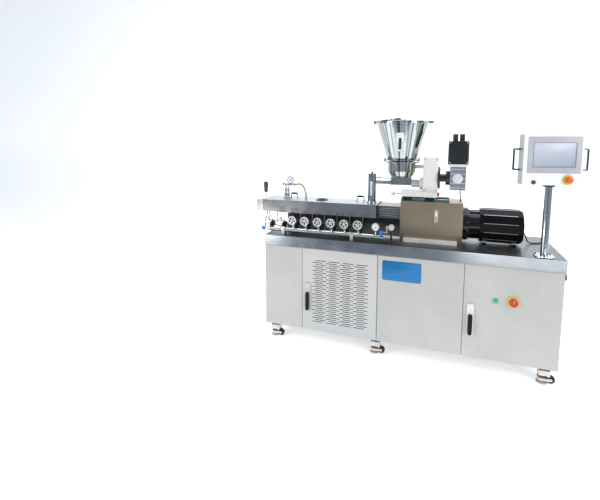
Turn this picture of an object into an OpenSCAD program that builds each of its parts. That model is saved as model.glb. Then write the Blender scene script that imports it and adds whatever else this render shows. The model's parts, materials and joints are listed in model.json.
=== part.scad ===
// Laboratory twin screw extruder on a cabinet with a stainless worktop.
// Millimetres. X runs along the machine, from the die to the operator panel.
// Y runs from the front of the bench to its back. Z runs up from the floor.
// Sizes below are measured from the left front corner of the worktop, at floor level.

/* [Bench] */
// Length of the worktop
bench_l = 1970; // [1930:5:2050]
// Depth of the worktop
bench_d = 600; // [560:5:660]
// Height of the worktop above the floor
bench_h = 820; // [780:5:860]
// Height of the folded apron
apron_h = 75; // [60:1:90]
// Thickness of the worktop sheet
top_t = 3; // [2:0.5:4]

/* [Cabinet] */
// Height of the casters, floor to cabinet
foot_h = 118; // [110:1:125]
// Step back from the apron to the cabinet front
face_in = 9; // [6:1:14]
// Step in from the worktop ends to the cabinet ends
end_in = 3; // [2:0.5:6]
// Width of the fixed panel at the left
left_w = 300; // [260:5:340]
// Thickness of the cabinet sheet
sheet_t = 2.5; // [1.5:0.5:3]
// Gap between neighbouring panels
seam = 3; // [2:0.5:5]
// Depth of the folded door pans
door_t = 20; // [18:1:26]
// Side of the square frame tube
tube_w = 35; // [30:1:45]
// Height of the closed floor pan
skid_h = 30; // [20:1:40]
// Radius of the rounded hinge edge of a door
door_r = 8; // [7.5:0.5:9]

/* [Door vents] */
// Rows of slots
vent_rows = 32; // [20:1:36]
// Slots in each row
vent_cols = 4; // [2:1:4]
// Length of a slot
vent_l = 80; // [60:1:84]
// Height of a slot
vent_h = 5; // [3:0.5:8]
// Spacing of the rows
vent_dz = 15; // [12:0.5:16]

/* [Casters] */
// Side of the square mounting plate
plate_w = 90; // [80:1:100]
// Diameter of the wheel
wheel_d = 50; // [46:1:56]
// Width of the wheel
wheel_w = 24; // [20:1:28]
// Diameter of the levelling pad
pad_d = 64; // [56:1:70]
// Distance from the swivel axis to the axle
trail = 40; // [38:1:46]

/* [Barrel] */
// Height of the barrel axis above the worktop
axis_up = 190; // [180:1:205]
// Diameter of a screw
screw_d = 22; // [20:0.5:24]
// Length of one barrel section
section_l = 101; // [98:0.5:104]
// Number of barrel sections
sections = 9; // [8:1:9]
// Side of the square barrel
barrel_w = 90; // [84:1:94]
// Overhang of the barrel past the left end of the worktop
overhang = 98; // [90:1:110]
// Depth of the sheet cover
cover_d = 240; // [220:2:250]
// Height of the sheet cover
cover_h = 96; // [92:1:100]

/* [Gearbox and motor] */
// Length of the gearbox cover
gear_l = 416; // [400:2:430]
// Depth of the gearbox cover
gear_d = 224; // [214:2:240]
// Height of the gearbox cover above the worktop
gear_h = 281; // [270:1:295]
// Height of the motor axis above the worktop
motor_up = 126; // [122:1:132]
// Width of the motor across flats
motor_w = 224; // [200:2:232]
// Length of the motor
motor_l = 262; // [240:2:280]
// Diameter of the coupling housing flange
bell_d = 228; // [210:2:232]

/* [Cooling water] */
// Spacing of the valves
zone_pitch = 99; // [96:0.5:102]
// Number of valves
zones = 8; // [6:1:8]
// Diameter of a handwheel
hand_d = 66; // [56:1:72]
// Diameter of the manifold pipe
pipe_d = 32; // [28:1:36]

/* [Feeder] */
// Upper diameter of the hopper
hopper_d = 368; // [340:2:380]
// Height of the hopper cone
hopper_h = 264; // [240:2:290]
// Diameter of the bowl under the hopper
bowl_d = 202; // [190:2:210]
// Diameter of the feed screw
auger_d = 22; // [18:0.5:24]
// Travel of the feeder on its rails
slide_l = 85; // [60:1:88]

/* [Operator panel] */
// Width of the panel box
box_w = 320; // [300:2:340]
// Height of the panel box
box_h = 298; // [280:2:320]
// Depth of the panel box
box_d = 90; // [80:1:110]
// Turn of the panel on its post, in degrees
box_turn = 8.6; // [0:0.2:20]
// Diameter of the post
post_d = 42; // [38:1:48]
// Height of the post above the worktop
post_h = 430; // [400:2:460]

/* [Hidden] */
$fn = 48;
fine = 96;
eps = 0.01;
over = 1;
air = 0.3;
fit = 0.05;
slack = 0.1;
thin = 2;

// Cabinet places
cab_x0 = end_in;
cab_x1 = bench_l - end_in;
cab_z1 = bench_h - apron_h;
door_gap = 4;
frame_y0 = face_in + door_t + door_gap;
frame_y1 = bench_d - face_in - sheet_t;
bay_w = (cab_x1 - cab_x0 - left_w) / 3;
line_1 = cab_x0 + left_w;
line_2 = line_1 + bay_w;
line_3 = line_2 + bay_w;
pan_z = foot_h + seam;
pan_h = cab_z1 - seam - pan_z;
beam_h = apron_h - top_t - seam;

// Door hardware
hinge_in = 80;
hinge_pin_r = 2.5;
hinge_pin_l = 20;
hinge_arm_w = 6.4;
hinge_arm_t = 8;
knuckle_r = 6;
knuckle_l = 24;
notch_y = 3;
lock_in = 22;
lock_w = 42;
lock_h = 215;
lock_t = 9;
lock_r = 8;
lock_z = 375;
lever_w = 26;
lever_l = 138;
lever_t = 15;
lever_pin_r = 6;
lever_drop = 27;
hinge_y = face_in + door_r;
vent_z0 = 189;
vent_dx = 102;
vent_x0 = 79;
vent_shift = 22;

// Controls on the right door
lamp_x = 187;
lamp_z = 521;
lamp_r = 15;
lamp_t = 12;
iso_x = 286;
iso_z = 525;
iso_w = 60;
iso_t = 8;
iso_r = 25;
iso_t2 = 12;
iso_grip_w = 14;
iso_grip_t = 8;
iso_pin_r = 5;
iso_pin_l = 6;

// Caster sizes
plate_t = 6;
king_r = 10;
king_l = 14;
caster_x = [63, 845, 1905];
caster_in = plate_w / 2;
caster_y = [frame_y0 + caster_in, frame_y1 - caster_in];
head_t = 12;
housing_w = 66;
housing_d = 60;
housing_z0 = 24;
arm_t = 5;
axle_r = 4;
wheel_lift = 2;
axle_z = wheel_d / 2 + wheel_lift;
pad_t = 8;
stem_r = 8;
thumb_r = 24;
thumb_t = 14;
thumb_z = 47;
window_h = 20;
pad_x = -9;
wheel_web = 10;
wheel_hub_r = 10;
wheel_rim_r = 18;
wheel_edge = 4;
wheel_air = 2;

// Barrel, screws and cover places
axis_y = bench_d / 2;
axis_z = bench_h + axis_up;
barrel_x0 = -overhang;
barrel_l = section_l * sections;
barrel_x1 = barrel_x0 + barrel_l;
barrel_z0 = axis_z - barrel_w / 2;
barrel_z1 = axis_z + barrel_w / 2;
screw_gap = 0.35;
centre_share = 0.836;
screw_c = screw_d * centre_share;
screw_r = screw_d / 2 - screw_gap;
root_r = screw_c - screw_gap - screw_r;
shaft_r = root_r - screw_gap;
groove = 2;
end_flange_t = 13;
end_flange_d = 220;
end_flange_h = 92;
port_x = 856;
port_r = 14;
vent_port_x = 463;
vent_tube_x = 164;
stand_xs_share = [0.28, 0.72];
stand_t = 16;
stand_w = 120;
stand_foot_l = 70;
stand_foot_w = 150;
stand_foot_t = 10;
cover_up = 51;
cover_z1 = axis_z + cover_up;
cover_z0 = cover_z1 - cover_h;
cover_y0 = axis_y - cover_d / 2;
cover_lip = 14;
grip_l = 44;
grip_r = 8;
grip_up = 42;
grip_arm_r = 4;
grip_elbow_r = 4.6;
grip_xs = [228, 770];

// Die head
die_flange_t = 18;
die_flange_w = 96;
die_body_r = 40;
die_body_l = 20;
die_plate_r = 36;
die_plate_t = 14;
die_bolt_r = 3.3;
die_bolt_pcd = 56;
die_bolts = 6;
strand_r = 2;
strand_dy = 10;
strands = 3;
melt_r = 20;
die_x0 = barrel_x0 - die_flange_t - die_body_l - die_plate_t;
guard_t = 2;
guard_hole = 4.5;
guard_step = 13;
guard_window_r = 44;
knob_rod_r = 5;
knob_r0 = 14;
knob_r1 = 21;
knob_h = 88;
knob_up = 42;
knob_z0 = cover_z1 + knob_up;

// Gearbox and drive
gear_x0 = 981;
gear_x1 = gear_x0 + gear_l;
gear_y0 = axis_y - gear_d / 2;
gear_z1 = bench_h + gear_h;
cover_t = 2;
plinth_in = 28;
plinth_l = 355;
plinth_out = 52;
plinth_h = 20;
case_in = 14;
motor_z = bench_h + motor_up;
case_bore_l = 60;
lantern_x0 = barrel_x1 + end_flange_t;
lantern_d = 190;
lantern_h = 90;
lantern_t = 4;
louvre_l_share = 0.74;
louvre_h = 7;
louvres = 4;
louvre_turn = 40;
sight_x = 244;
sight_z = 186;
sight_w = 26;
sight_h = 92;
sight_t = 10;
sight_pane_w = 14;
bell_t1 = 6;
bell_t2 = 22;
bell_t3 = 18;
bell_d2 = 206;
bell_wall = 8;
bell_neck_d = 185;
bell_l = 110;
bell_bore_r = 72;
bell_ribs = 8;
rib_t = 6;
bell_x0 = gear_x1;
motor_x0 = bell_x0 + bell_l;
motor_x1 = motor_x0 + motor_l;
motor_sides = 12;
motor_end = 20;
motor_chamfer = 14;
fin_w = 3;
fin_out = 2;
shaft_in_r = 15;
shaft_in_l = 40;
hub_r = 44;
hub_l = 34;
spider_r = 50;
spider_l = 16;
jbox_w = 60;
jbox_h = 26;

// Cooling water
wheel_x0 = 13;
pipe_y = 70;
pipe_up = 35;
pipe_z = bench_h + pipe_up;
pipe_x0 = -56;
pipe_x1 = 894;
inlet_r = 10;
inlet_l = 30;
clip_w = 22;
clip_d = 46;
clip_h = 60;
clip_xs = [134, 661];
valve_up = 115;
valve_z = bench_h + valve_up;
valve_r = 9;
valve_hex_r = 12;
bonnet_r = 10;
globe_r = 13;
bonnet_y0 = 50;
stem_hand_r = 4;
rim_t = 8;
rim_w = 8;
rim_y0 = 32;
scallops = 10;
scallop_r = 5;
scallop_out = 2;
spokes = 5;
spoke_w = 6;
hand_hub_r = 8;
coil_w = 34;
coil_d = 46;
coil_h = 40;
coil_y0 = 96;
coil_up = 44;
coil_z0 = bench_h + coil_up;
nipple_r = 5;
tube_r = 4;
elbow_out = 2;
elbow_r = tube_r + elbow_out;
riser_y = 222;
gauge_x = 828;
gauge_up = 105;
gauge_z = bench_h + gauge_up;
gauge_r = 28;
gauge_t = 22;
ball_x = 871;
ball_up = 68;
ball_z = bench_h + ball_up;
ball_r = 12;
ball_arm_w = 24;
ball_arm_h = 34;
ball_arm_t = 6;
filter_x = 936;
filter_up = 109;
filter_z = bench_h + filter_up;
filter_r = 20;
filter_t = 26;
filter_post_w = 12;

// Vent and gauge on the barrel cover
twin_r = 10;
twin_h = 112;
twin_flange_r = 30;
twin_flange_t = 8;
dial_r = 30;
dial_t = 24;
dial_up = 152;
dial_dx = 34;
vent_knob_r = 10;
vent_knob_l = 14;
vent_cap_r = 47;
vent_cap_t = 14;
vent_neck_r = 26;
hose_r = 7;
hose_rib_r = 9;

// Feeder
rail_x0 = 978;
rail_w = 20;
rail_h = 16;
rail_dy = 130;
car_l = 78;
car_w = 44;
car_h = 26;
car_gap = 4;
car_xs = [10, 158];
rail_end = 10;
rail_l = car_xs[1] + car_l + slide_l + rail_end;
base_x0 = 975;
base_x1 = 1226;
base_w = 180;
base_t = 34;
base_z0 = gear_z1 + car_h + car_gap;
base_z1 = base_z0 + base_t;
pull_r = 5;
pull_l = 52;
pull_ball_r = 14;
lock_knob_r = 13;
lock_knob_t = 14;
lock_knob_drop = 8;
lock_pin_r = 5;
lock_pin_l = 20;
hopper_x = 971;
auger_up = 117;
auger_z = gear_z1 + auger_up;
auger_r = auger_d / 2;
feed_tube_wall = 3;
feed_tube_r = auger_r + feed_tube_wall;
trough_x0 = 901;
trough_x1 = 1045;
wall = 3;
bowl_up = 160;
bowl_z0 = gear_z1 + bowl_up;
bowl_top_up = 274;
bowl_z1 = gear_z1 + bowl_top_up;
bowl_foot_r = 70;
ring_out = 20;
ring_t = 8;
cone_z0 = bowl_z1 + ring_t;
cone_z1 = cone_z0 + hopper_h;
rim_out = 7;
rim_h = 12;
lid_t = 3;
lid_raise = 5;
lid_knuckle_r = 7;
lid_pin_r = 4;
lid_ear_w = 10;
lid_split = 2;
window_w = 50;
window_l = 134;
window_slot_w = 20;
window_slot_l = 112;
window_t = 4;
box_x0 = 1125;
box_x1 = 1227;
feeder_box_d = 120;
feeder_box_up = 308;
feeder_box_z1 = gear_z1 + feeder_box_up;
feeder_box_r = 8;
adapter_r = 28;
adapter_flange_r = 43;
adapter_flange_t = 22;
drive_up = 45;
auger_shaft_r = 7;
stir_up = 237;
stir_z = gear_z1 + stir_up;
stir_r = 7;
stir_sleeve_r = 13;
stir_reach = 52;
stir_arm_r = 4;
spool_r = 78;
spool_t = 14;
spool_neck_r = 28;
spool_neck_l = 35;
spool_end_r = 50;
spool_end_t = 28;
worm_l = 103;
worm_d = 110;
worm_h = 162;
worm_ribs = 5;
worm_rib_t = 3;
worm_rib_out = 3;
feeder_plate_t = 18;
feeder_plate_l = 128;
fmotor_w = 134;
fmotor_h = 158;
fmotor_r = 12;
plug_w = 34;
plug_h = 48;
plug_r = 8;
chute_x = port_x + barrel_x0;
chute_r = 31;
chute_h = 214;
chute_flange_r = 38;
chute_flange_t = 6;
chute_window_w = 20;
chute_window_h = 118;
chute_knob_r = 8;
chute_knob_h = 16;
rod_r = 4;
rod_up = 32;
clamp_x = 812;

// Operator panel
post_x = 1859;
post_y = 64;
post_foot_w = 104;
post_foot_d = 96;
post_foot_t = 8;
post_foot_r = 10;
post_bolt_r = 5.5;
post_bolt_x = 80;
post_bolt_y = 72;
head_r = 34;
head_l = 14;
head_pin_r = 15;
head_pin_l = 30;
box_off = -10;
box_front = 62;
box_r = 8;
box_z0 = bench_h + post_h + head_l;
bezel_w = 283;
bezel_h = 210;
bezel_t = 2;
bezel_x = -147;
bezel_up = 72;
bezel_r = 10;
screen_w = 224;
screen_h = 140;
screen_deep = 2;
pull_reach = 45;
pull_h = 134;
pull_bar_r = 6;
pull_up = 82;
stop_x = -108;
stop_up = 16;
stop_r = 9;
stop_t = 3;
stop_ring_r = 13;
stop_ring_t = 1.5;
stop_pin_r = 5;
stop_travel = 2;
estop_x = 73;
estop_up = 34;
estop_ring_r = 30;
estop_ring_t = 3;
estop_r = 20;
estop_t = 14;
estop_neck_r = 11;
estop_neck_l = 12;

// Routes of the cables
cable_r = 4;
cable_sides = 8;
heater_cable = [
    [-107, 292, 962], [-107, 292, 946], [-107, 276, 915], [-102, 240, 882],
    [-84, 196, 858], [-56, 162, 840], [-26, 142, 829], [8, 130, 824.5]
];
sensor_cable = [
    [-107, 330, 962], [-107, 330, 946], [-104, 330, 912], [-92, 326, 876],
    [-70, 320, 850], [-40, 312, 832], [-14, 304, 826], [10, 300, 824.5]
];
motor_cable = [
    [1769, 340, 905], [1784, 340, 905], [1800, 346, 886], [1811, 352, 860], [1824, 360, 836],
    [1846, 368, 825], [1874, 379, 824.5], [1900, 391, 824.5], [1924, 403, 824.5], [1948, 414, 824.5]
];
jumper_cable = [[1376, 300, 1183.5], [1376, 300, 1168], [1377, 298, 1142], [1380, 300, 1118],
    [1380, 300, 1101]];
hose_route = [[154, 300, 1177], [168, 300, 1180], [184, 300, 1178], [199, 300, 1169], [212, 300, 1153],
    [221, 300, 1133], [227, 300, 1110], [230, 300, 1086], [231, 300, 1061.5]];

// The object's middle, which puts the origin under it
turn_c = cos(box_turn);
turn_s = sin(box_turn);
pull_far = box_off + box_w / 2 + pull_reach - pull_bar_r;
grip_y = box_d / 2 - box_front;
reach_x = post_x + pull_far * turn_c - grip_y * turn_s + pull_bar_r;
corner_x = box_off - box_w / 2 + box_r;
corner_y = box_r - box_front;
reach_y = post_y + corner_x * turn_s + corner_y * turn_c - box_r;
mid_x = (die_x0 + reach_x) / 2;
mid_y = (reach_y + bench_d) / 2;

module placed() {
    translate([-mid_x, -mid_y, 0]) children();
}

// Helpers
module along_x(x0, x1, y, z, r) {
    translate([x0, y, z]) rotate([0, 90, 0]) cylinder(r = r, h = x1 - x0);
}

module along_y(y0, y1, x, z, r) {
    translate([x, y1, z]) rotate([90, 0, 0]) cylinder(r = r, h = y1 - y0);
}

module block(x0, x1, y0, y1, z0, z1) {
    translate([x0, y0, z0]) cube([x1 - x0, y1 - y0, z1 - z0]);
}

module rounded(w, h, r) {
    square([w - 2 * r, h], center = true);
    square([w, h - 2 * r], center = true);
    for (sx = [-1, 1]) {
        for (sy = [-1, 1]) {
            translate([sx * (w / 2 - r), sy * (h / 2 - r)]) circle(r);
        }
    }
}

// A plate with rounded corners that faces the front, its back at y
module front_plate(x, y, z, w, h, t, r) {
    translate([x, y, z]) rotate([90, 0, 0]) linear_extrude(t) rounded(w, h, r);
}

// A tube of round section along a list of points, each ring square to the route
function unit(v) = v / norm(v);
function heading(p, i) = unit(p[min(i + 1, len(p) - 1)] - p[max(i - 1, 0)]);
function side_of(t) = unit(cross(t, abs(t[1]) < 0.9 ? [0, 1, 0] : [1, 0, 0]));
function ring_at(c, t, r, n) = [
    for (k = [0:n - 1]) c + r * (cos(360 * k / n) * side_of(t) + sin(360 * k / n) * cross(t, side_of(t)))
];
function tube_faces(m, n) = concat(
    [[for (k = [0:n - 1]) k]],
    [for (i = [0:m - 2]) for (k = [0:n - 1]) [i * n + k, (i + 1) * n + k, (i + 1) * n + (k + 1) % n]],
    [for (i = [0:m - 2]) for (k = [0:n - 1]) [i * n + k, (i + 1) * n + (k + 1) % n, i * n + (k + 1) % n]],
    [[for (k = [n - 1:-1:0]) (m - 1) * n + k]]
);

module cord(route, r, n = cable_sides) {
    rings = [for (i = [0:len(route) - 1]) ring_at(route[i], heading(route, i), r, n)];
    polyhedron(points = [for (g = rings) for (p = g) p], faces = tube_faces(len(route), n));
}

// Points between two neighbours of a route, on a smooth curve through all of them
function smooth(p, i, u) =
    let (a = p[max(i - 1, 0)], b = p[i], c = p[i + 1], d = p[min(i + 2, len(p) - 1)])
    0.5 * (2 * b + (c - a) * u + (2 * a - 5 * b + 4 * c - d) * u * u + (3 * b - a - 3 * c + d) * u * u * u);
function finer(p, n) = concat(
    [for (i = [0:len(p) - 2]) for (k = [0:n - 1]) smooth(p, i, k / n)],
    [p[len(p) - 1]]
);

module ribbed_hose(route, r0, r1, steps) {
    path = finer(route, steps);
    last = len(path) - 1;
    rings = [
        for (i = [0:last]) ring_at(path[i], heading(path, i),
            (i % 2 == 1 && i > 1 && i < last - 1) ? r1 : r0, 8)
    ];
    polyhedron(points = [for (g = rings) for (p = g) p], faces = tube_faces(last + 1, 8));
}

// Cabinet. Its tubes and sheets are cut to length and lie a hair apart where they are welded.
module frame_post(x) {
    for (y = [frame_y0, frame_y1 - tube_w]) {
        block(x, x + tube_w, y, y + tube_w, foot_h + skid_h + fit, bench_h - top_t - beam_h - fit);
    }
    block(x, x + tube_w, frame_y0 + tube_w + fit, frame_y1 - tube_w - fit, bench_h - top_t - beam_h,
        bench_h - top_t);
}

module caster_seat(x, y) {
    block(x - plate_w / 2, x + plate_w / 2, y - plate_w / 2, y + plate_w / 2, foot_h - plate_t, foot_h - fit);
    translate([x, y, foot_h - plate_t - king_l]) cylinder(r = king_r, h = king_l + eps);
}

module cabinet_frame() color("gainsboro") placed() {
    x0 = cab_x0 + sheet_t;
    x1 = cab_x1 - sheet_t;
    block(x0, x1, frame_y0, frame_y1, foot_h, foot_h + skid_h);
    for (x = [x0, line_1 - tube_w / 2, line_2 - tube_w / 2, line_3 - tube_w / 2, x1 - tube_w]) {
        frame_post(x);
    }
    for (y = [frame_y0, frame_y1 - tube_w]) {
        block(x0, x1, y, y + tube_w, bench_h - top_t - beam_h, bench_h - top_t);
    }
    for (x = caster_x) {
        for (y = caster_y) {
            caster_seat(x, y);
        }
    }
}

module fixed_pan(x0, x1) {
    t = door_t + door_gap;
    difference() {
        block(x0, x1, face_in, face_in + t, pan_z, pan_z + pan_h);
        block(x0 + sheet_t, x1 - sheet_t, face_in + sheet_t, face_in + t + over, pan_z + sheet_t,
            pan_z + pan_h - sheet_t);
    }
}

module hinge_arm(x, z) {
    block(x - hinge_arm_w / 2, x + hinge_arm_w / 2, hinge_y, frame_y0, z, z + hinge_arm_t);
    translate([x, hinge_y, z]) cylinder(r = hinge_arm_w / 2, h = hinge_arm_t);
    translate([x, hinge_y, z - hinge_pin_l]) cylinder(r = hinge_pin_r, h = hinge_pin_l + eps);
}

door_ends = [line_2 - seam / 2, cab_x1];
hinge_zs = [pan_z + hinge_in, pan_z + pan_h - hinge_in];
gland_y = 57;
gland_z = 705;
gland_r = 22;
gland_l = 14;

module panels_and_hinges() color("whitesmoke") placed() {
    block(cab_x0, cab_x0 + sheet_t, frame_y0 + fit, bench_d - face_in, foot_h, cab_z1);
    block(cab_x1 - sheet_t, cab_x1, frame_y0 + fit, bench_d - face_in, foot_h, cab_z1);
    back_x0 = cab_x0 + sheet_t + air;
    back_x1 = cab_x1 - sheet_t - air;
    back_mid = (back_x0 + back_x1) / 2;
    block(back_x0, back_mid - seam / 2, frame_y1, bench_d - face_in, foot_h + seam, cab_z1 - seam);
    block(back_mid + seam / 2, back_x1, frame_y1, bench_d - face_in, foot_h + seam, cab_z1 - seam);
    fixed_pan(cab_x0, line_1 - seam / 2);
    fixed_pan(line_2 + seam / 2, line_3 - seam / 2);
    for (x = door_ends) {
        for (z = hinge_zs) {
            hinge_arm(x - door_r, z);
        }
    }
    along_x(cab_x1 + fit, cab_x1 + gland_l, gland_y, gland_z, gland_r);
}

module worktop() color("silver") placed() difference() {
    block(0, bench_l, 0, bench_d, bench_h - apron_h, bench_h);
    block(top_t, bench_l - top_t, top_t, bench_d - top_t, bench_h - apron_h - over, bench_h - top_t);
}

module door_outline(w) {
    square([w - door_r, door_t]);
    translate([0, door_r]) square([w, door_t - door_r]);
    translate([w - door_r, door_r]) circle(door_r);
}

module door_hollow(w) {
    s = sheet_t;
    translate([s, s]) square([w - s - door_r, door_t]);
    translate([s, door_r]) square([w - 2 * s, door_t]);
    translate([w - door_r, door_r]) circle(door_r - s);
}

// A folded door pan from x0 to x1, with its hinge knuckles at the right
module door_pan(x0, x1) {
    w = x1 - x0;
    difference() {
        union() {
            translate([x0, face_in, pan_z]) {
                linear_extrude(pan_h) difference() {
                    door_outline(w);
                    door_hollow(w);
                }
                linear_extrude(sheet_t) door_outline(w);
                translate([0, 0, pan_h - sheet_t]) linear_extrude(sheet_t) door_outline(w);
            }
            for (z = hinge_zs) {
                translate([x1 - door_r, hinge_y, z - air - knuckle_l]) cylinder(r = knuckle_r, h = knuckle_l);
            }
        }
        for (z = hinge_zs) {
            translate([x1 - door_r, hinge_y, z - air - knuckle_l - over])
                cylinder(r = hinge_pin_r + fit, h = knuckle_l + 2 * over);
            block(x1 - door_r, x1 + over, face_in + notch_y, face_in + door_t + over, z - air,
                z + hinge_arm_t + over);
        }
    }
}

module lock_plate(x0) {
    x = x0 + lock_in + lock_w / 2;
    difference() {
        front_plate(x, face_in + eps, lock_z, lock_w, lock_h, lock_t, lock_r);
        along_y(face_in - lock_t - over, face_in - thin, x, lock_z + lever_drop, lever_pin_r + fit);
    }
}

module vented_door() color("whitesmoke") placed() {
    x0 = line_1 + seam / 2;
    difference() {
        door_pan(x0, line_2 - seam / 2);
        for (r = [0:vent_rows - 1]) {
            for (c = [0:vent_cols - 1]) {
                x = x0 + vent_x0 + c * vent_dx + (r % 2) * vent_shift;
                z = vent_z0 + r * vent_dz;
                block(x, x + vent_l, face_in - over, face_in + sheet_t + over, z, z + vent_h);
            }
        }
    }
    lock_plate(x0);
}

module door_lever(x0) {
    x = x0 + lock_in + lock_w / 2;
    z = lock_z + lever_drop;
    y1 = face_in - lock_t - air;
    front_plate(x, y1, z - lever_l / 2 + lever_w / 2, lever_w, lever_l, lever_t, lever_w / 2 - eps);
    along_y(y1 - eps, face_in - thin - air, x, z, lever_pin_r);
}

module vented_door_lever() color("dimgray") placed() door_lever(line_1 + seam / 2);

right_x0 = line_3 + seam / 2;

module right_door() color("whitesmoke") placed() {
    door_pan(right_x0, cab_x1);
    lock_plate(right_x0);
    along_y(face_in - lamp_t, face_in, right_x0 + lamp_x, lamp_z, lamp_r);
    difference() {
        front_plate(right_x0 + iso_x, face_in + eps, iso_z, iso_w, iso_w, iso_t, thin);
        along_y(face_in - iso_t - over, face_in - thin / 2, right_x0 + iso_x, iso_z, iso_pin_r + fit);
    }
}

module right_door_lever() color("dimgray") placed() door_lever(right_x0);

module isolator_knob() color("firebrick") placed() {
    x = right_x0 + iso_x;
    y1 = face_in - iso_t - air;
    along_y(y1 - iso_t2, y1, x, iso_z, iso_r);
    front_plate(x, y1 - iso_t2 + eps, iso_z, iso_grip_w, 2 * iso_r - 2 * thin, iso_grip_t, thin);
    along_y(y1 - eps, y1 + air + iso_pin_l, x, iso_z, iso_pin_r);
}

// Casters
pad_neck = 13;
house_r = 10;

module caster_housing(x, y) color("ivory") placed() translate([x, y, 0]) {
    top = foot_h - plate_t - air;
    cheek = wheel_w / 2 + wheel_air;
    difference() {
        union() {
            translate([0, 0, top - head_t]) cylinder(r = housing_w / 2, h = head_t);
            translate([0, 0, housing_z0]) linear_extrude(top - head_t - housing_z0 + eps)
                rounded(housing_w, housing_d, house_r);
            for (s = [-1, 1]) {
                y0 = s > 0 ? cheek : -cheek - arm_t;
                block(0, trail, y0, y0 + arm_t, axle_z - axle_r - arm_t, axle_z + axle_r + arm_t);
                along_y(y0, y0 + arm_t, trail, axle_z, axle_r + arm_t);
            }
        }
        translate([0, 0, top - king_l - slack]) cylinder(r = king_r + fit, h = king_l + head_t);
        block(trail - wheel_d / 2 - wheel_air, 2 * trail, -cheek, cheek, 0,
            wheel_d + 2 * wheel_air + wheel_lift);
        block(-housing_w, pad_x + thumb_r + wheel_air, -housing_d, housing_d, thumb_z - window_h / 2,
            thumb_z + window_h / 2);
    }
    along_y(-cheek - arm_t, cheek + arm_t, trail, axle_z, axle_r);
    translate([pad_x, 0, 0]) {
        cylinder(r = pad_d / 2, h = pad_t - thin);
        translate([0, 0, pad_t - thin - eps]) cylinder(r1 = pad_d / 2, r2 = pad_neck, h = thin + eps);
        cylinder(r = stem_r, h = thumb_z + window_h / 2 + eps);
        translate([0, 0, thumb_z - thumb_t / 2]) cylinder(r = thumb_r, h = thumb_t);
    }
}

module caster_wheel(x, y) color("black") placed() {
    b = axle_r + fit;
    w = wheel_w / 2;
    r = wheel_d / 2;
    half = [
        [wheel_hub_r, w], [wheel_hub_r, wheel_web / 2], [wheel_rim_r, wheel_web / 2],
        [wheel_rim_r, w], [r - wheel_edge, w], [r, w - wheel_edge]
    ];
    back = [for (i = [len(half) - 1:-1:0]) [half[i][0], -half[i][1]]];
    translate([x + trail, y, axle_z]) rotate([90, 0, 0]) rotate_extrude()
        polygon(concat([[b, w]], half, back, [[b, -w]]));
}

// Drive
boss_r = 40;
drive_boss_r = 60;
plinth_x0 = gear_x0 + plinth_in;
plinth_x1 = plinth_x0 + plinth_l;

module gearbox_case() color("silver") placed() difference() {
    union() {
        block(plinth_x0, plinth_x1, gear_y0 - plinth_out, gear_y0 + gear_d + plinth_out, bench_h,
            bench_h + plinth_h);
        block(gear_x0 + case_in, gear_x1 - case_in, gear_y0 + case_in, gear_y0 + gear_d - case_in,
            bench_h + plinth_h - eps, gear_z1 - case_in);
        along_x(gear_x0, gear_x0 + case_in + eps, axis_y, axis_z, boss_r);
        along_x(gear_x1 - case_in - eps, gear_x1, axis_y, motor_z, drive_boss_r);
    }
    for (s = [-1, 1]) {
        along_x(gear_x0 - over, gear_x0 + case_bore_l + over, axis_y + s * screw_c / 2, axis_z,
            shaft_r + fit);
    }
    along_x(gear_x1 - case_bore_l - over, gear_x1 + over, axis_y, motor_z, shaft_in_r + fit);
}

module gearbox_cover() color("rosybrown") placed() {
    sx = gear_x0 + sight_x;
    sz = bench_h + sight_z;
    difference() {
        union() {
            block(gear_x0, gear_x1, gear_y0, gear_y0 + gear_d, bench_h, gear_z1);
            front_plate(sx, gear_y0 + eps, sz, sight_w, sight_h, sight_t, thin);
        }
        block(gear_x0 + cover_t, gear_x1 - cover_t, gear_y0 + cover_t, gear_y0 + gear_d - cover_t,
            bench_h - over, gear_z1 - cover_t);
        block(plinth_x0 - air, plinth_x1 + air, gear_y0 - over, gear_y0 + gear_d + over,
            bench_h - over, bench_h + plinth_h + air);
        along_x(gear_x0 - over, gear_x0 + case_in, axis_y, axis_z, boss_r + air);
        along_x(gear_x1 - case_in, gear_x1 + over, axis_y, motor_z, drive_boss_r + air);
        front_plate(sx, gear_y0 - sight_t + thin, sz, sight_pane_w, sight_h - sight_w, thin + over, thin);
    }
}

module bell_housing() color("silver") placed() {
    difference() {
        union() {
            along_x(bell_x0, bell_x0 + bell_t1 + eps, axis_y, motor_z, bell_d2 / 2);
            along_x(bell_x0 + bell_t1, bell_x0 + bell_t1 + bell_t2, axis_y, motor_z, bell_d / 2);
            along_x(bell_x0 + bell_t1 + bell_t2 - eps, bell_x0 + bell_t1 + bell_t2 + bell_t3, axis_y,
                motor_z, bell_d2 / 2);
            along_x(bell_x0 + bell_t1, motor_x0, axis_y, motor_z, bell_neck_d / 2);
            for (i = [0:bell_ribs - 1]) {
                translate([bell_x0 + bell_t1 + bell_t2, axis_y, motor_z])
                    rotate([360 * (i + 0.5) / bell_ribs, 0, 0])
                    translate([0, -rib_t / 2, 0])
                        cube([bell_l - bell_t1 - bell_t2 - thin, rib_t, bell_d2 / 2 - thin]);
            }
        }
        along_x(bell_x0 + bell_wall, motor_x0 + over, axis_y, motor_z, bell_bore_r);
        along_x(bell_x0 - over, bell_x0 + bell_wall + over, axis_y, motor_z, shaft_in_r + thin);
    }
}

jaws = 4;
jaw_l = 18;

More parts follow.
